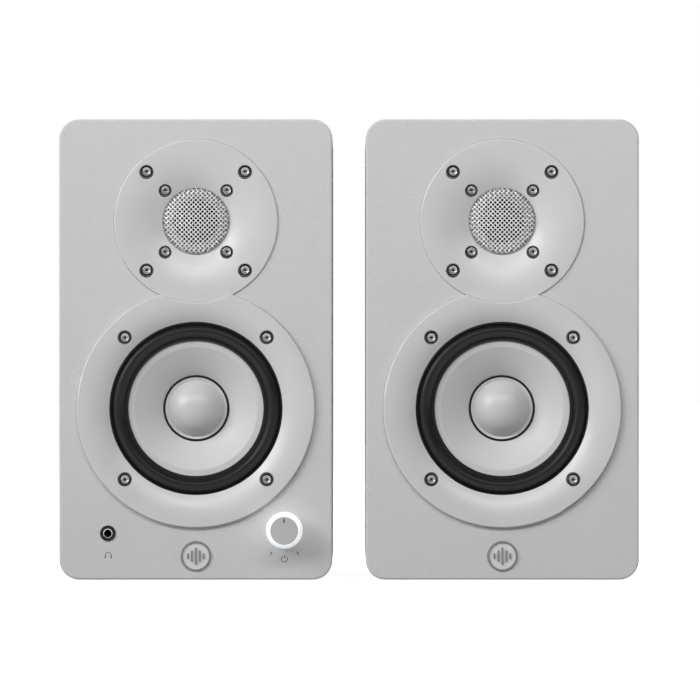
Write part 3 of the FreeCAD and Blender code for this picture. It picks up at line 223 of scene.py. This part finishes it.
def make_materials():
    return {
        "paint": surface("cabinet_paint", (0.603, 0.603, 0.608), 0.5, mottle=0.015, mottle_scale=25,
                         grain_scale=2100, grain_height=0.3),
        "trim": surface("trim_plastic", (0.605, 0.605, 0.61), 0.34, mottle=0.01, grain_scale=2600,
                        grain_height=0.008, specular=0.6),
        "cone": surface("cone_plastic", (0.585, 0.585, 0.595), 0.5, mottle=0.015, grain_height=0.006),
        "cap": surface("cap_plastic", (0.565, 0.565, 0.575), 0.33, mottle=0.01, grain_height=0.003),
        "rubber": surface("surround_rubber", (0.006, 0.006, 0.0065), 0.39, mottle=0.2,
                          grain_scale=2200, grain_height=0.01, specular=0.23),
        "pad": surface("pad_rubber", (0.02, 0.02, 0.02), 0.8, mottle=0.2, grain_height=0.05),
        "glue": surface("glue_black", (0.007, 0.007, 0.007), 0.5, grain_scale=500, grain_height=0.03,
                        specular=0.15),
        "black": surface("black_plastic", (0.02, 0.02, 0.021), 0.45, mottle=0.1, grain_height=0.02),
        "gloss_black": surface("gloss_black", (0.012, 0.012, 0.012), 0.16, grain_height=0.002),
        "gloss_red": surface("gloss_red", (0.5, 0.012, 0.012), 0.2, grain_height=0.002),
        "white": surface("insert_white", (0.8, 0.8, 0.78), 0.4, grain_height=0.004),
        "jack_black": surface("jack_black", (0.008, 0.008, 0.008), 0.4, grain_height=0.006,
                              specular=0.2),
        # A mid grey for the ring behind the mesh's edge: painted shade, standing in for the shade that
        # falls behind the mesh.
        "painted_gap_shade": surface("painted_gap_shade_grey", (0.36, 0.36, 0.36), 0.9, mottle=0.1, grain_height=0.05,
                        specular=0.1),
        "steel": surface("bright_steel", (0.56, 0.56, 0.55), 0.26, metallic=1.0, mottle=0.05,
                         mottle_scale=900, grain_scale=4000, grain_height=0.003),
        "dark_steel": surface("dark_steel", (0.27, 0.272, 0.262), 0.4, metallic=0.8, mottle=0.1,
                              mottle_scale=700, grain_height=0.006),
        "coated_steel": surface("coated_steel", (0.03, 0.03, 0.032), 0.5, mottle=0.1,
                                grain_height=0.02),
        "screw": surface("screw_steel", (0.36, 0.365, 0.35), 0.36, metallic=0.9, mottle=0.06,
                         mottle_scale=800, grain_scale=4000, grain_height=0.003),
        "wire": surface("mesh_wire", (0.8, 0.8, 0.8), 0.4, metallic=0.5, mottle=0.06,
                        mottle_scale=500, grain_height=0.002),
        "gold": surface("gold_plate", (0.85, 0.6, 0.26), 0.22, metallic=1.0, mottle=0.03,
                        grain_height=0.002),
        "copper": surface("copper_wire", (0.7, 0.3, 0.14), 0.3, metallic=1.0, grain_scale=3000,
                          grain_height=0.05),
        "ferrite": surface("ferrite", (0.045, 0.045, 0.05), 0.6, mottle=0.2, grain_height=0.03),
        "cloth": surface("dome_cloth", (0.006, 0.006, 0.006), 0.6, grain_height=0.02, sheen=0.03,
                         specular=0.2),
        "spider": surface("spider_cloth", (0.45, 0.3, 0.1), 0.8, mottle=0.1, grain_height=0.08,
                          sheen=0.3),
        "badge": surface("badge_satin", (0.21, 0.21, 0.215), 0.4, metallic=0.3, mottle=0.03,
                         mottle_scale=300, grain_height=0.004),
        "badge_field": surface("badge_field", (0.68, 0.68, 0.69), 0.4, mottle=0.01,
                               grain_height=0.004),
        "skirt": surface("light_plastic", (0.95, 0.95, 0.96), 0.3, mottle=0.0, grain_height=0.002,
                         glow=((0.93, 0.97, 1.0), 0.5)),
        "cap_grey": surface("cap_grey", (0.5, 0.5, 0.505), 0.42, mottle=0.02, grain_height=0.006),
        "label": surface("label_silver", (0.42, 0.42, 0.425), 0.4, metallic=0.6, mottle=0.04,
                         mottle_scale=300, grain_height=0.003),
        "ink": surface("print_grey", (0.12, 0.12, 0.125), 0.6, grain_height=0.002),
        "board": surface("circuit_board", (0.01, 0.14, 0.06), 0.3, mottle=0.15, mottle_scale=400,
                         grain_height=0.01),
        "panel": surface("panel_paint", (0.5, 0.5, 0.505), 0.45, mottle=0.02, grain_scale=1600,
                         grain_height=0.04),
    }


def coat_nodes(materials):
    """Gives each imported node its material."""
    plain = {
        "cabinet": "paint", "front_baffle": "paint", "pads": "pad", "badge": "badge",
        "port_tube": "black", "woofer_trim_ring": "trim", "woofer_frame": "coated_steel",
        "woofer_cone": "cone", "woofer_dust_cap": "cap", "woofer_voice_coil": "copper",
        "woofer_spider": "spider", "woofer_plates": "dark_steel", "woofer_magnet": "ferrite",
        "tweeter_waveguide": "trim", "tweeter_dome": "cloth", "tweeter_motor": "coated_steel",
        "terminal_block": "black", "black_lever": "gloss_black", "red_lever": "gloss_red",
        "headphone_jack": "jack_black", "knob_skirt": "skirt", "knob_cap": "cap_grey",
        "knob_plunger": "black", "control_board": "board", "rear_panel": "panel",
        "rear_panel_screws": "dark_steel", "combo_jacks": "black", "line_jacks": "gold",
        "room_control_switch": "black", "high_trim_switch": "black", "mains_inlet": "black",
        "amplifier_board": "board", "crossover_board": "board", "woofer_surround": "rubber",
        "tweeter_mesh": "wire", "woofer_screws": "screw", "tweeter_screws": "screw",
    }
    for name, thing in nodes.items():
        kind = name.removeprefix("left_").removeprefix("right_")
        thing.data.materials.clear()
        thing.data.materials.append(materials[plain[kind]])


# --- shapes -------------------------------------------------------------------------------------

def add_object(name, bm, body, paints, sharp=32):
    """An object of a bmesh, smooth except at edges that turn more than the given angle."""
    bmesh.ops.recalc_face_normals(bm, faces=bm.faces)
    for face in bm.faces:
        face.smooth = True
    for edge in bm.edges:
        if len(edge.link_faces) != 2 or edge.calc_face_angle() > math.radians(sharp):
            edge.smooth = False
    mesh = bpy.data.meshes.new(name)
    bm.to_mesh(mesh)
    bm.free()
    for paint in paints:
        mesh.materials.append(materials[paint])
    thing = bpy.data.objects.new(name, mesh)
    scene.collection.objects.link(thing)
    if body:
        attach(thing, body)
    return thing


def lathe(bm, section, centre, steps=128, turn_offset=0.0):
    """Turns a closed section about the front-to-back axis through centre. A point of the section is
    (radius, depth) or (radius, depth, paint), where the paint is that of the band after it. A radius
    may be a function of the turn. A section that starts and ends on the axis is closed by the axis."""
    rings = []
    for radius, depth, *_ in section:
        if radius == 0:
            rings.append([bm.verts.new(centre + Vector((0, depth * MM, 0)))] * steps)
            continue
        ring = []
        for step in range(steps):
            turn = math.tau * step / steps
            reach = radius(turn) if callable(radius) else radius
            place = Vector((reach * math.cos(turn + turn_offset), depth,
                            reach * math.sin(turn + turn_offset)))
            ring.append(bm.verts.new(centre + place * MM))
        rings.append(ring)
    on_axis = section[0][0] == 0 and section[-1][0] == 0
    last = len(section) - 1 if on_axis else len(section)
    paint = 0
    for index in range(last):
        paint = section[index][2] if len(section[index]) == 3 else paint
        near, far = rings[index], rings[(index + 1) % len(rings)]
        for step in range(steps):
            following = (step + 1) % steps
            corners = []
            for vertex in (near[step], near[following], far[following], far[step]):
                if vertex not in corners:
                    corners.append(vertex)
            if len(corners) > 2:
                bm.faces.new(corners).material_index = paint


def bend(centre, radius, start, stop, count, squash=1.0):
    """Points of an arc in a section. Turns are in degrees; 0 is outwards, 90 is towards the front."""
    points = []
    for step in range(count + 1):
        turn = math.radians(start + (stop - start) * step / count)
        points.append((centre[0] + radius * math.cos(turn),
                       centre[1] - radius * squash * math.sin(turn)))
    return points


def dome_line(edge, base, apex, count):
    """A dome's section from its edge to its top, on the axis."""
    rise = base - apex
    ball = (edge ** 2 + rise ** 2) / (2 * rise)
    line = []
    for step in range(count + 1):
        radius = edge * (1 - step / count)
        line.append((radius, apex + ball - math.sqrt(ball ** 2 - radius ** 2)))
    return line


def turned_piece(name, section, centre, body, paints, steps=160, sharp=32):
    bm = bmesh.new()
    lathe(bm, section, centre, steps)
    return add_object(name, bm, body, paints, sharp)


def tube(bm, path, outward, radius, sides=6):
    """A wire along a path; outward gives the way out of the surface that the wire follows."""
    rings = []
    for index, point in enumerate(path):
        along = (path[min(index + 1, len(path) - 1)] - path[max(index - 1, 0)]).normalized()
        across = along.cross(outward[index]).normalized()
        up = across.cross(along)
        rings.append([bm.verts.new(point + (across * math.cos(math.tau * side / sides)
                                            + up * math.sin(math.tau * side / sides)) * radius)
                      for side in range(sides)])
    for near, far in zip(rings, rings[1:]):
        for side in range(sides):
            following = (side + 1) % sides
            bm.faces.new((near[side], near[following], far[following], far[side]))
    bm.faces.new(rings[0])
    bm.faces.new(rings[-1])


def plate(bm, outline, centre, front, back, paint=0):
    """A thin plate: an outline of (across, up) points in mm, between two depths."""
    layers = [[bm.verts.new(centre + Vector((across, depth, up)) * MM) for across, up in outline]
              for depth in (front, back)]
    faces = [bm.faces.new(layers[0]), bm.faces.new(layers[1][::-1])]
    for index in range(len(outline)):
        following = (index + 1) % len(outline)
        faces.append(bm.faces.new((layers[0][index], layers[1][index], layers[1][following],
                                   layers[0][following])))
    for face in faces:
        face.material_index = paint


def stroke_arc(radius, width, start, stop, count=32):
    """The outline of an arc-shaped stroke; turns in degrees anticlockwise from the right."""
    turns = [math.radians(start + (stop - start) * step / count) for step in range(count + 1)]
    outer = [((radius + width / 2) * math.cos(turn), (radius + width / 2) * math.sin(turn))
             for turn in turns]
    inner = [((radius - width / 2) * math.cos(turn), (radius - width / 2) * math.sin(turn))
             for turn in reversed(turns)]
    return outer + inner


def rounded_bar(middle, width, height, corner, turn=0.0, count=6):
    """The outline of a rounded bar about its middle, turned by some degrees."""
    outline = []
    for quarter, (way_x, way_y) in enumerate(((1, 1), (-1, 1), (-1, -1), (1, -1))):
        for step in range(count + 1):
            angle = math.radians(90 * quarter + 90 * step / count)
            outline.append((way_x * (width / 2 - corner) + corner * math.cos(angle),
                            way_y * (height / 2 - corner) + corner * math.sin(angle)))
    spin = math.radians(turn)
    return [(middle[0] + across * math.cos(spin) - up * math.sin(spin),
             middle[1] + across * math.sin(spin) + up * math.cos(spin)) for across, up in outline]


# --- woofer -------------------------------------------------------------------------------------

ROLL_OUTER = 40.6
ROLL_INNER = 34.3


def radial_blend(thing):
    """Bakes the ring's placement into its mesh."""
    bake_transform(thing)


def make_surround(side, centre):
    """A rubber half roll on two flat rims, with a thin wall."""
    roll = ((ROLL_OUTER + ROLL_INNER) / 2, 3.75)
    reach = (ROLL_OUTER - ROLL_INNER) / 2
    sheet = 0.75
    section = [(44.3, 4.45), (44.3, 3.5), (41.3, 3.5), (40.9, 3.6)]
    section += bend(roll, reach, 0, 180, 20, 1.02)
    section += [(34.0, 3.7), (33.0, 3.72), (32.68, 3.85), (32.68, 4.42), (34.6, 4.45)]
    section += bend(roll, reach - sheet, 180, 0, 16)
    section += [(40.9, 4.45)]
    thing = turned_piece(f"{side}_surround_rubber", section, centre, None, ["rubber"], 192, 50)
    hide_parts(f"{side}_woofer_surround")
    radial_blend(thing)


def make_spider(side, centre):
    outer, inner = 28.5, 14.5
    line = [(31.3, 21.0)]
    for step in range(61):
        reach = outer - (outer - inner) * step / 60
        line.append((reach, 20.9 - 0.7 * (1 - math.cos(math.tau * 4 * step / 60)) / 2))
    line.append((13.1, 20.9))
    section = line + [(reach, depth + 0.25) for reach, depth in reversed(line)]
    thing = turned_piece(f"{side}_spider_cloth", section, centre, None, ["spider"], 96, 60)
    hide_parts(f"{side}_woofer_spider")
    radial_blend(thing)


def make_cone(side, centre):
    """Cone, the bead of glue round the cap, and the domed cap."""
    body = f"{side}_woofer_moving"
    lip = [(34.05, 5.15), (34.05, 4.5), (30.0, 4.5), (29.6, 4.56), (29.3, 4.72)]
    front = [(29.3 + (13.2 - 29.3) * step / 24,
              4.72 + (14.2 - 4.72) * step / 24 - 0.75 * math.sin(math.pi * step / 24))
             for step in range(1, 25)]
    back = [(reach + 0.15, depth + 0.85) for reach, depth in reversed(front)]
    section = lip + front + back + [(29.7, 5.2)]
    cone = turned_piece(f"{side}_cone_skin", section, centre, body, ["cone"], 192, 40)
    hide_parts(f"{side}_woofer_cone")
    dome = dome_line(13.4, 12.2, 3.7, 28)
    rim = [(14.95, 12.75), (14.95, 11.7), (14.8, 11.6), (14.6, 11.66), (13.6, 12.16)]
    under = [(max(0.0, reach - 0.4), depth + 0.6) for reach, depth in reversed(dome[:-1])]
    section = [(0, dome[-1][1] + 0.6)] + under + rim + dome
    cap = turned_piece(f"{side}_cap_skin", section, centre, body, ["cap"], 160, 40)
    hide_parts(f"{side}_woofer_dust_cap")
    bead = bend((15.38, 12.4), 0.74, 0, 360, 20)[:-1]
    ring = turned_piece(f"{side}_cap_glue", bead, centre, body, ["glue"], 128, 60)


# --- tweeter ------------------------------------------------------------------------------------

def make_woven_dome(side, centre):
    """Two sets of wires woven over and under each other on a dome, in a thin rim of dark steel, and a
    grey ring behind its edge. The rim's dark colour is painted shade along the edge of the mesh, and
    the ring's grey is painted shade seen through the gaps of the mesh."""
    edge, base, apex = 15.55, 5.3, 0.45
    rise = base - apex
    pitch, wire = 1.56, 0.265
    ways = (Vector((1, 0, 1)).normalized(), Vector((-1, 0, 1)).normalized())
    bm = bmesh.new()
    rows = int(edge / pitch)
    for family in (0, 1):
        across, along = ways[family], ways[1 - family]
        for row in range(-rows, rows + 1):
            offset = row * pitch
            half = 0.997 * math.sqrt(edge ** 2 - offset ** 2)
            count = max(4, round(2 * half / (pitch / 5)))
            path, outward = [], []
            for step in range(count + 1):
                run = -half + 2 * half * step / count
                flat = across * offset + along * run
                fall = math.sqrt(1 - flat.length_squared / edge ** 2)
                out = (flat * (rise / edge ** 2 / fall) + Vector((0, -1, 0))).normalized()
                wave = math.cos(math.pi * run / pitch) * (-1) ** (row + family)
                place = flat + Vector((0, base - rise * fall, 0)) + out * wave * wire
                path.append(centre + place * MM)
                outward.append(out)
            for end in (0, -1):
                foot = Vector((path[end].x, centre.y + (base + 0.3) * MM, path[end].z))
                path.insert(0 if end == 0 else len(path), foot)
                outward.insert(0 if end == 0 else len(outward), outward[end])
            tube(bm, path, outward, wire * MM)
    # The rim is dark steel: painted shade along the edge of the mesh.
    lathe(bm, [(15.3, 5.85, 1), (15.3, 5.5), (15.85, 5.5), (15.85, 5.85)], centre, 128)
    # The grey ring behind the edge: its grey is painted shade seen through the gaps of the mesh.
    lathe(bm, [(11.0, 7.9, 2), (11.0, 7.3), (13.2, 5.5), (15.1, 5.35), (15.1, 5.8)], centre, 128)
    thing = add_object(f"{side}_woven_dome", bm, f"{side}_speaker", ["wire", "dark_steel", "painted_gap_shade"],
                       50)
    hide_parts(f"{side}_tweeter_mesh")


def hexagon(apothem):
    """The reach of a hexagon at any turn."""
    sixth = math.tau / 6
    return lambda turn: apothem / math.cos((turn % sixth) - sixth / 2)


def add_screw(bm, centre, flange, reach, spin):
    """A socket screw: a dished head with a six-sided recess, in the groove of its stepped flange. The
    recess, the groove and the head's side are black, and the ledge at the recess's mouth is dark steel:
    painted shade in these hollows.
    """
    lathe(bm, [
        (0, reach, 0),
        (1.4, reach),
        (1.4, 2.6),
        (flange, 2.6),
        (flange, 1.0),
        (flange - 0.12, 0.85),
        (flange - 0.28, 1.15),
        (flange - 0.38, 1.15, 2),
        (flange - 0.43, 1.0),
        # Black from here round the groove and down the head's side: painted shade in the gap round the
        # head.
        (flange - 0.5, 1.15, 1),
        (2.65, 1.3),
        (2.62, 2.0),
        (2.08, 2.0),
        (2.07, 0.5, 2),
        (2.05, 0.2),
        (1.97, 0.06),
        (1.85, 0.0),
        (1.74, 0.05),
        # Dark steel on the ledge at the recess's mouth and black inside the six-sided recess: painted
        # shade in the socket.
        (1.2, 0.6, 0),
        (hexagon(0.72), 0.72, 1),
        (hexagon(0.7), 1.9),
        (0, 2.1),
    ], centre, 48, spin)


def make_screws(side, woofer, tweeter):
    """The spreads and depths of the screws, as they are in the baffle."""
    groups = {
        "woofer": [(woofer, 34.3, -0.1, 3.25, 10.6)],
        "tweeter": [(tweeter, 23.8, 0.4, 3.25, 10.6), (tweeter, 14.9, 3.8, 2.95, 7.2)],
    }
    for driver, rings in groups.items():
        bm = bmesh.new()
        for centre, spread, top, flange, reach in rings:
            for index, (across, up) in enumerate(((-1, -1), (1, -1), (1, 1), (-1, 1))):
                place = centre + Vector((across * spread, top, up * spread)) * MM
                add_screw(bm, place, flange, reach, math.radians(37 * (index + 1)))
        thing = add_object(f"{side}_{driver}_socket_screws", bm, f"{side}_speaker",
                           ["dark_steel", "black", "screw"], 30)
        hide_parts(f"{side}_{driver}_screws")


# --- front of the left speaker ------------------------------------------------------------------

def make_prints():
    """Thin printed marks: headphones, power, and the ends of the volume scale."""
    knob = middle("knob_cap")
    jack = middle("headphone_jack")
    front, back = -0.04, 0.02
    power_drop, phones_drop, scale_radius = 13.85, 10.9, 12.9
    bm = bmesh.new()
    under = Vector((knob.x, FRONT, knob.z - power_drop * MM))
    plate(bm, stroke_arc(1.45, 0.42, 122, 418), under, front, back)
    plate(bm, rounded_bar((0, 1.05), 0.42, 1.7, 0.1), under, front, back)
    face = Vector((knob.x, FRONT, knob.z))
    for way in (-1, 1):
        turn = math.radians(90 + way * 150)
        place = (scale_radius * math.cos(turn), scale_radius * math.sin(turn))
        plate(bm, rounded_bar(place, 1.8, 0.55, 0.1, math.degrees(turn)), face, front, back)
    below = Vector((jack.x + 0.2 * MM, FRONT, jack.z - phones_drop * MM))
    plate(bm, stroke_arc(1.45, 0.36, 0, 180), below + Vector((0, 0, 0.2 * MM)), front, back)
    for way in (-1, 1):
        plate(bm, rounded_bar((way * 1.4, -0.45), 0.7, 1.35, 0.2), below, -0.041, back)
    thing = add_object("front_prints", bm, "left_speaker", ["ink"], 30)


def make_badge(side):
    """A round badge: a raised satin rim round a pale field with five raised bars."""
    low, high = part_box(f"{side}_badge")
    centre = Vector(((low.x + high.x) / 2, FRONT, (low.z + high.z) / 2))
    bm = bmesh.new()
    lathe(bm, [
        (6.4, -0.1, 0), (6.42, -0.62), (6.56, -0.78), (6.7, -0.8), (6.96, -0.8), (7.12, -0.72),
        (7.2, -0.55), (7.2, 0.8), (6.4, 0.8),
    ], centre, 128)
    lathe(bm, [(0, -0.1, 1), (6.4, -0.1), (6.4, 0.7), (0, 0.7)], centre, 128)
    for place, steps in enumerate((1, 2, 3, 2, 1), start=-2):
        plate(bm, rounded_bar((place * 1.9, 0), 0.9, 2.8 * steps, 0.44), centre, -0.6, -0.05)
    thing = add_object(f"{side}_badge_disc", bm, f"{side}_speaker", ["badge", "badge_field"], 30)
    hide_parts(f"{side}_badge")


def make_pointer():
    """The dark inlay in the pointer groove of the knob's face."""
    knob = middle("knob_cap")
    face = Vector((knob.x, front_of("knob_cap"), knob.z))
    bm = bmesh.new()
    plate(bm, rounded_bar((0, 4.85), 0.86, 2.26, 0.42), face, 0.18, 0.39)
    thing = add_object("knob_pointer", bm, "volume_knob", ["ink"], 30)


def make_jack_ring():
    """The bright sleeve in the mouth of the headphone jack."""
    jack = middle("headphone_jack")
    place = Vector((jack.x, front_of("headphone_jack"), jack.z))
    ring = turned_piece("headphone_jack_sleeve", [
        (1.82, 0.35), (1.82, 0.0), (1.9, -0.08), (2.15, -0.1), (2.25, 0.0), (2.27, 0.35),
    ], place, "left_speaker", ["steel"], 64)


# --- backs --------------------------------------------------------------------------------------

def combo_places():
    """The middles of the two combination jacks, on the outer face of their flanges."""
    low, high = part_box("combo_jacks")
    half_width = 13 * MM
    return [Vector((across, high.y, (low.z + high.z) / 2))
            for across in (low.x + half_width, high.x - half_width)]


def make_combo_contacts():
    """A bright sleeve round each bore, sprung contacts in the pin holes, and a latch above."""
    bm = bmesh.new()
    face = -4.0
    pin_ring = 6.6
    for place in combo_places():
        lathe(bm, [(3.27, face - 2, 0), (3.27, face + 0.1), (3.37, face + 0.22), (3.95, face + 0.22),
                   (4.05, face + 0.12), (4.05, face - 0.05)], place, 64)
        for turn in COMBO_PINS:
            hole = place + Vector((pin_ring * math.cos(turn), 0, pin_ring * math.sin(turn))) * MM
            lathe(bm, [(0.8, face - 6, 1), (0.8, face - 0.5), (0.9, face - 0.4), (1.2, face - 0.4),
                       (1.28, face - 0.5), (1.28, face - 6)], hole, 24)
        plate(bm, rounded_bar((0, 8.3), 4.6, 1.9, 0.5), place, -1.4, face - 0.02, paint=2)
        plate(bm, rounded_bar((0, 8.45), 3.2, 0.5, 0.24), place, -1.1, -1.5, paint=2)
        for way in (-1, 1):
            corner = place + Vector((way * 10.4, 0, way * 12.9)) * MM
            lathe(bm, [(0, 0.16, 3), (hexagon(0.55), 0.16), (hexagon(0.62), 0.5), (1.35, 0.5),
                       (1.65, 0.2), (1.7, -0.05), (0, -0.05)], corner, 36)
    thing = add_object("combo_contacts", bm, "left_speaker",
                       ["steel", "gold", "gloss_black", "dark_steel"], 30)


def make_phono_caps():
    """White and red insulators on the cores of the phono sockets, and a black one in the mini jack."""
    low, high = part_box("line_jacks")
    collar, mini_collar, mini_drop = 5.6 * MM, 5.2 * MM, 5.8 * MM
    level = high.z - collar
    white_across, red_across = low.x + collar, high.x - collar
    for name, across, paint, slot in (("white", white_across, "white", "light_plastic"),
                                      ("red", red_across, "gloss_red", "lever_red")):
        cap = turned_piece(f"phono_cap_{name}", [
            (1.65, -0.62), (1.65, -0.5), (1.8, -0.4), (2.92, -0.4), (3.08, -0.55), (3.08, -4.8),
            (3.01, -4.8), (3.01, -0.62),
        ], Vector((across, high.y, level)), "left_speaker", [paint], 48)
    mini = turned_piece("mini_jack_insert", [
        (1.84, -0.4), (1.84, 0.08), (1.94, 0.18), (2.9, 0.18), (3.0, 0.08), (3.0, -0.1),
    ], Vector(((white_across + red_across) / 2, high.y - mini_drop, low.z + mini_collar)),
        "left_speaker", ["black"], 48)


def make_mains_pins():
    """Bright skins on the two pins of the mains inlet."""
    low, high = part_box("mains_inlet")
    pin_spread = 4.3 * MM
    bm = bmesh.new()
    for way in (-1, 1):
        place = Vector(((low.x + high.x) / 2 + way * pin_spread, high.y, (low.z + high.z) / 2))
        lathe(bm, [(0, -1.88), (0.7, -1.9), (1.08, -2.02), (1.23, -2.35), (1.23, -10.9), (0, -10.9)],
              place, 32)
    thing = add_object("mains_pins", bm, "left_speaker", ["steel"], 40)


def make_clip_contacts(side):
    """Bright contacts in the wire holes, and raised plus and minus marks over the levers."""
    low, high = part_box(f"{side}_terminal_block")
    level = (low.z + high.z) / 2
    hole_drop, mark_lift = 9 * MM, 14.2 * MM
    bm = bmesh.new()
    for colour in ("red", "black"):
        lever = middle(f"{side}_{colour}_lever").x
        hole = Vector((lever, high.y, level - hole_drop))
        lathe(bm, [(1.05, -6, 0), (1.05, -0.5), (1.15, -0.4), (1.4, -0.4), (1.48, -0.5), (1.48, -6)],
              hole, 32)
        mark = Vector((lever, high.y, level + mark_lift))
        plate(bm, rounded_bar((0, 0), 2.0, 0.45, 0.1), mark, 0.08, -0.02, paint=1)
        if colour == "red":
            plate(bm, rounded_bar((0, 0), 0.45, 2.0, 0.1), mark, 0.081, -0.02, paint=1)
    thing = add_object(f"{side}_clip_contacts", bm, f"{side}_speaker", ["steel", "white"], 30)


def print_frame(bm, low, high, panel, spare):
    """A thin rounded line on the panel round a box, a little outside it."""
    place = Vector(((low.x + high.x) / 2, panel, (low.z + high.z) / 2))
    wide, tall = (high.x - low.x) / MM + 2 * spare, (high.z - low.z) / MM + 2 * spare
    corner, line = 2.5, 0.35
    for way in (-1, 1):
        for middle_at, width, height in (((0, way * tall / 2), wide - 2 * corner, line),
                                         ((way * wide / 2, 0), line, tall - 2 * corner)):
            plate(bm, rounded_bar(middle_at, width, height, 0.01, count=1), place, *PRINT)
    for turn, way_x, way_z in ((0, 1, 1), (90, -1, 1), (180, -1, -1), (270, 1, -1)):
        bend_at = Vector((way_x * (wide / 2 - corner), 0, way_z * (tall / 2 - corner))) * MM
        plate(bm, stroke_arc(corner, line, turn, turn + 90, 8), place + bend_at, *PRINT)


def make_panel_prints():
    """Fine printed lines round the line sockets and by the switches, and a blank label."""
    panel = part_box("rear_panel")[1].y
    bm = bmesh.new()
    print_frame(bm, *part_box("line_jacks"), panel, 2.6)
    for node in ("room_control_switch", "high_trim_switch"):
        place = middle(node)
        place.y = panel
        for step in (-1, 0, 1):
            plate(bm, rounded_bar((step * 2.6, -4.1), 0.4, 1.3, 0.1), place, *PRINT)
        for way, size in ((-1, 0.9), (1, 1.5)):
            plate(bm, stroke_arc(size, 0.35, 0, 360 - 0.01, 24), place + Vector((way * 6.6, 0, 0)) * MM,
                  *PRINT)
    thing = add_object("panel_prints", bm, "left_speaker", ["ink"], 30)
    bm = bmesh.new()
    label_at = Vector((middle("left_terminal_block").x - 3 * MM, panel, middle("mains_inlet").z))
    plate(bm, rounded_bar((0, 0), 46, 17, 1.2), label_at, 0.15, -0.02)
    label = add_object("blank_label", bm, "left_speaker", ["label"], 30)


def make_port_ring(side):
    """A low rounded bead round the lip of the port."""
    low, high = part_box(f"{side}_port_tube")
    place = Vector(((low.x + high.x) / 2, high.y, (low.z + high.z) / 2))
    ring = turned_piece(f"{side}_port_ring", [
        (19.6, -0.05), (19.7, 0.16), (19.9, 0.24), (20.9, 0.24), (21.1, 0.16), (21.2, -0.05),
    ], place, f"{side}_speaker", ["black"], 96)


make_camera()
make_light()
make_stage()
materials = make_materials()
coat_nodes(materials)
for side in SIDES:
    woofer, tweeter = driver_centre(side, "woofer"), driver_centre(side, "tweeter")
    make_surround(side, woofer)
    make_spider(side, woofer)
    make_cone(side, woofer)
    make_woven_dome(side, tweeter)
    make_screws(side, woofer, tweeter)
    make_badge(side)
    make_clip_contacts(side)
    make_port_ring(side)
make_prints()
make_pointer()
make_jack_ring()
make_combo_contacts()
make_phono_caps()
make_mains_pins()
make_panel_prints()
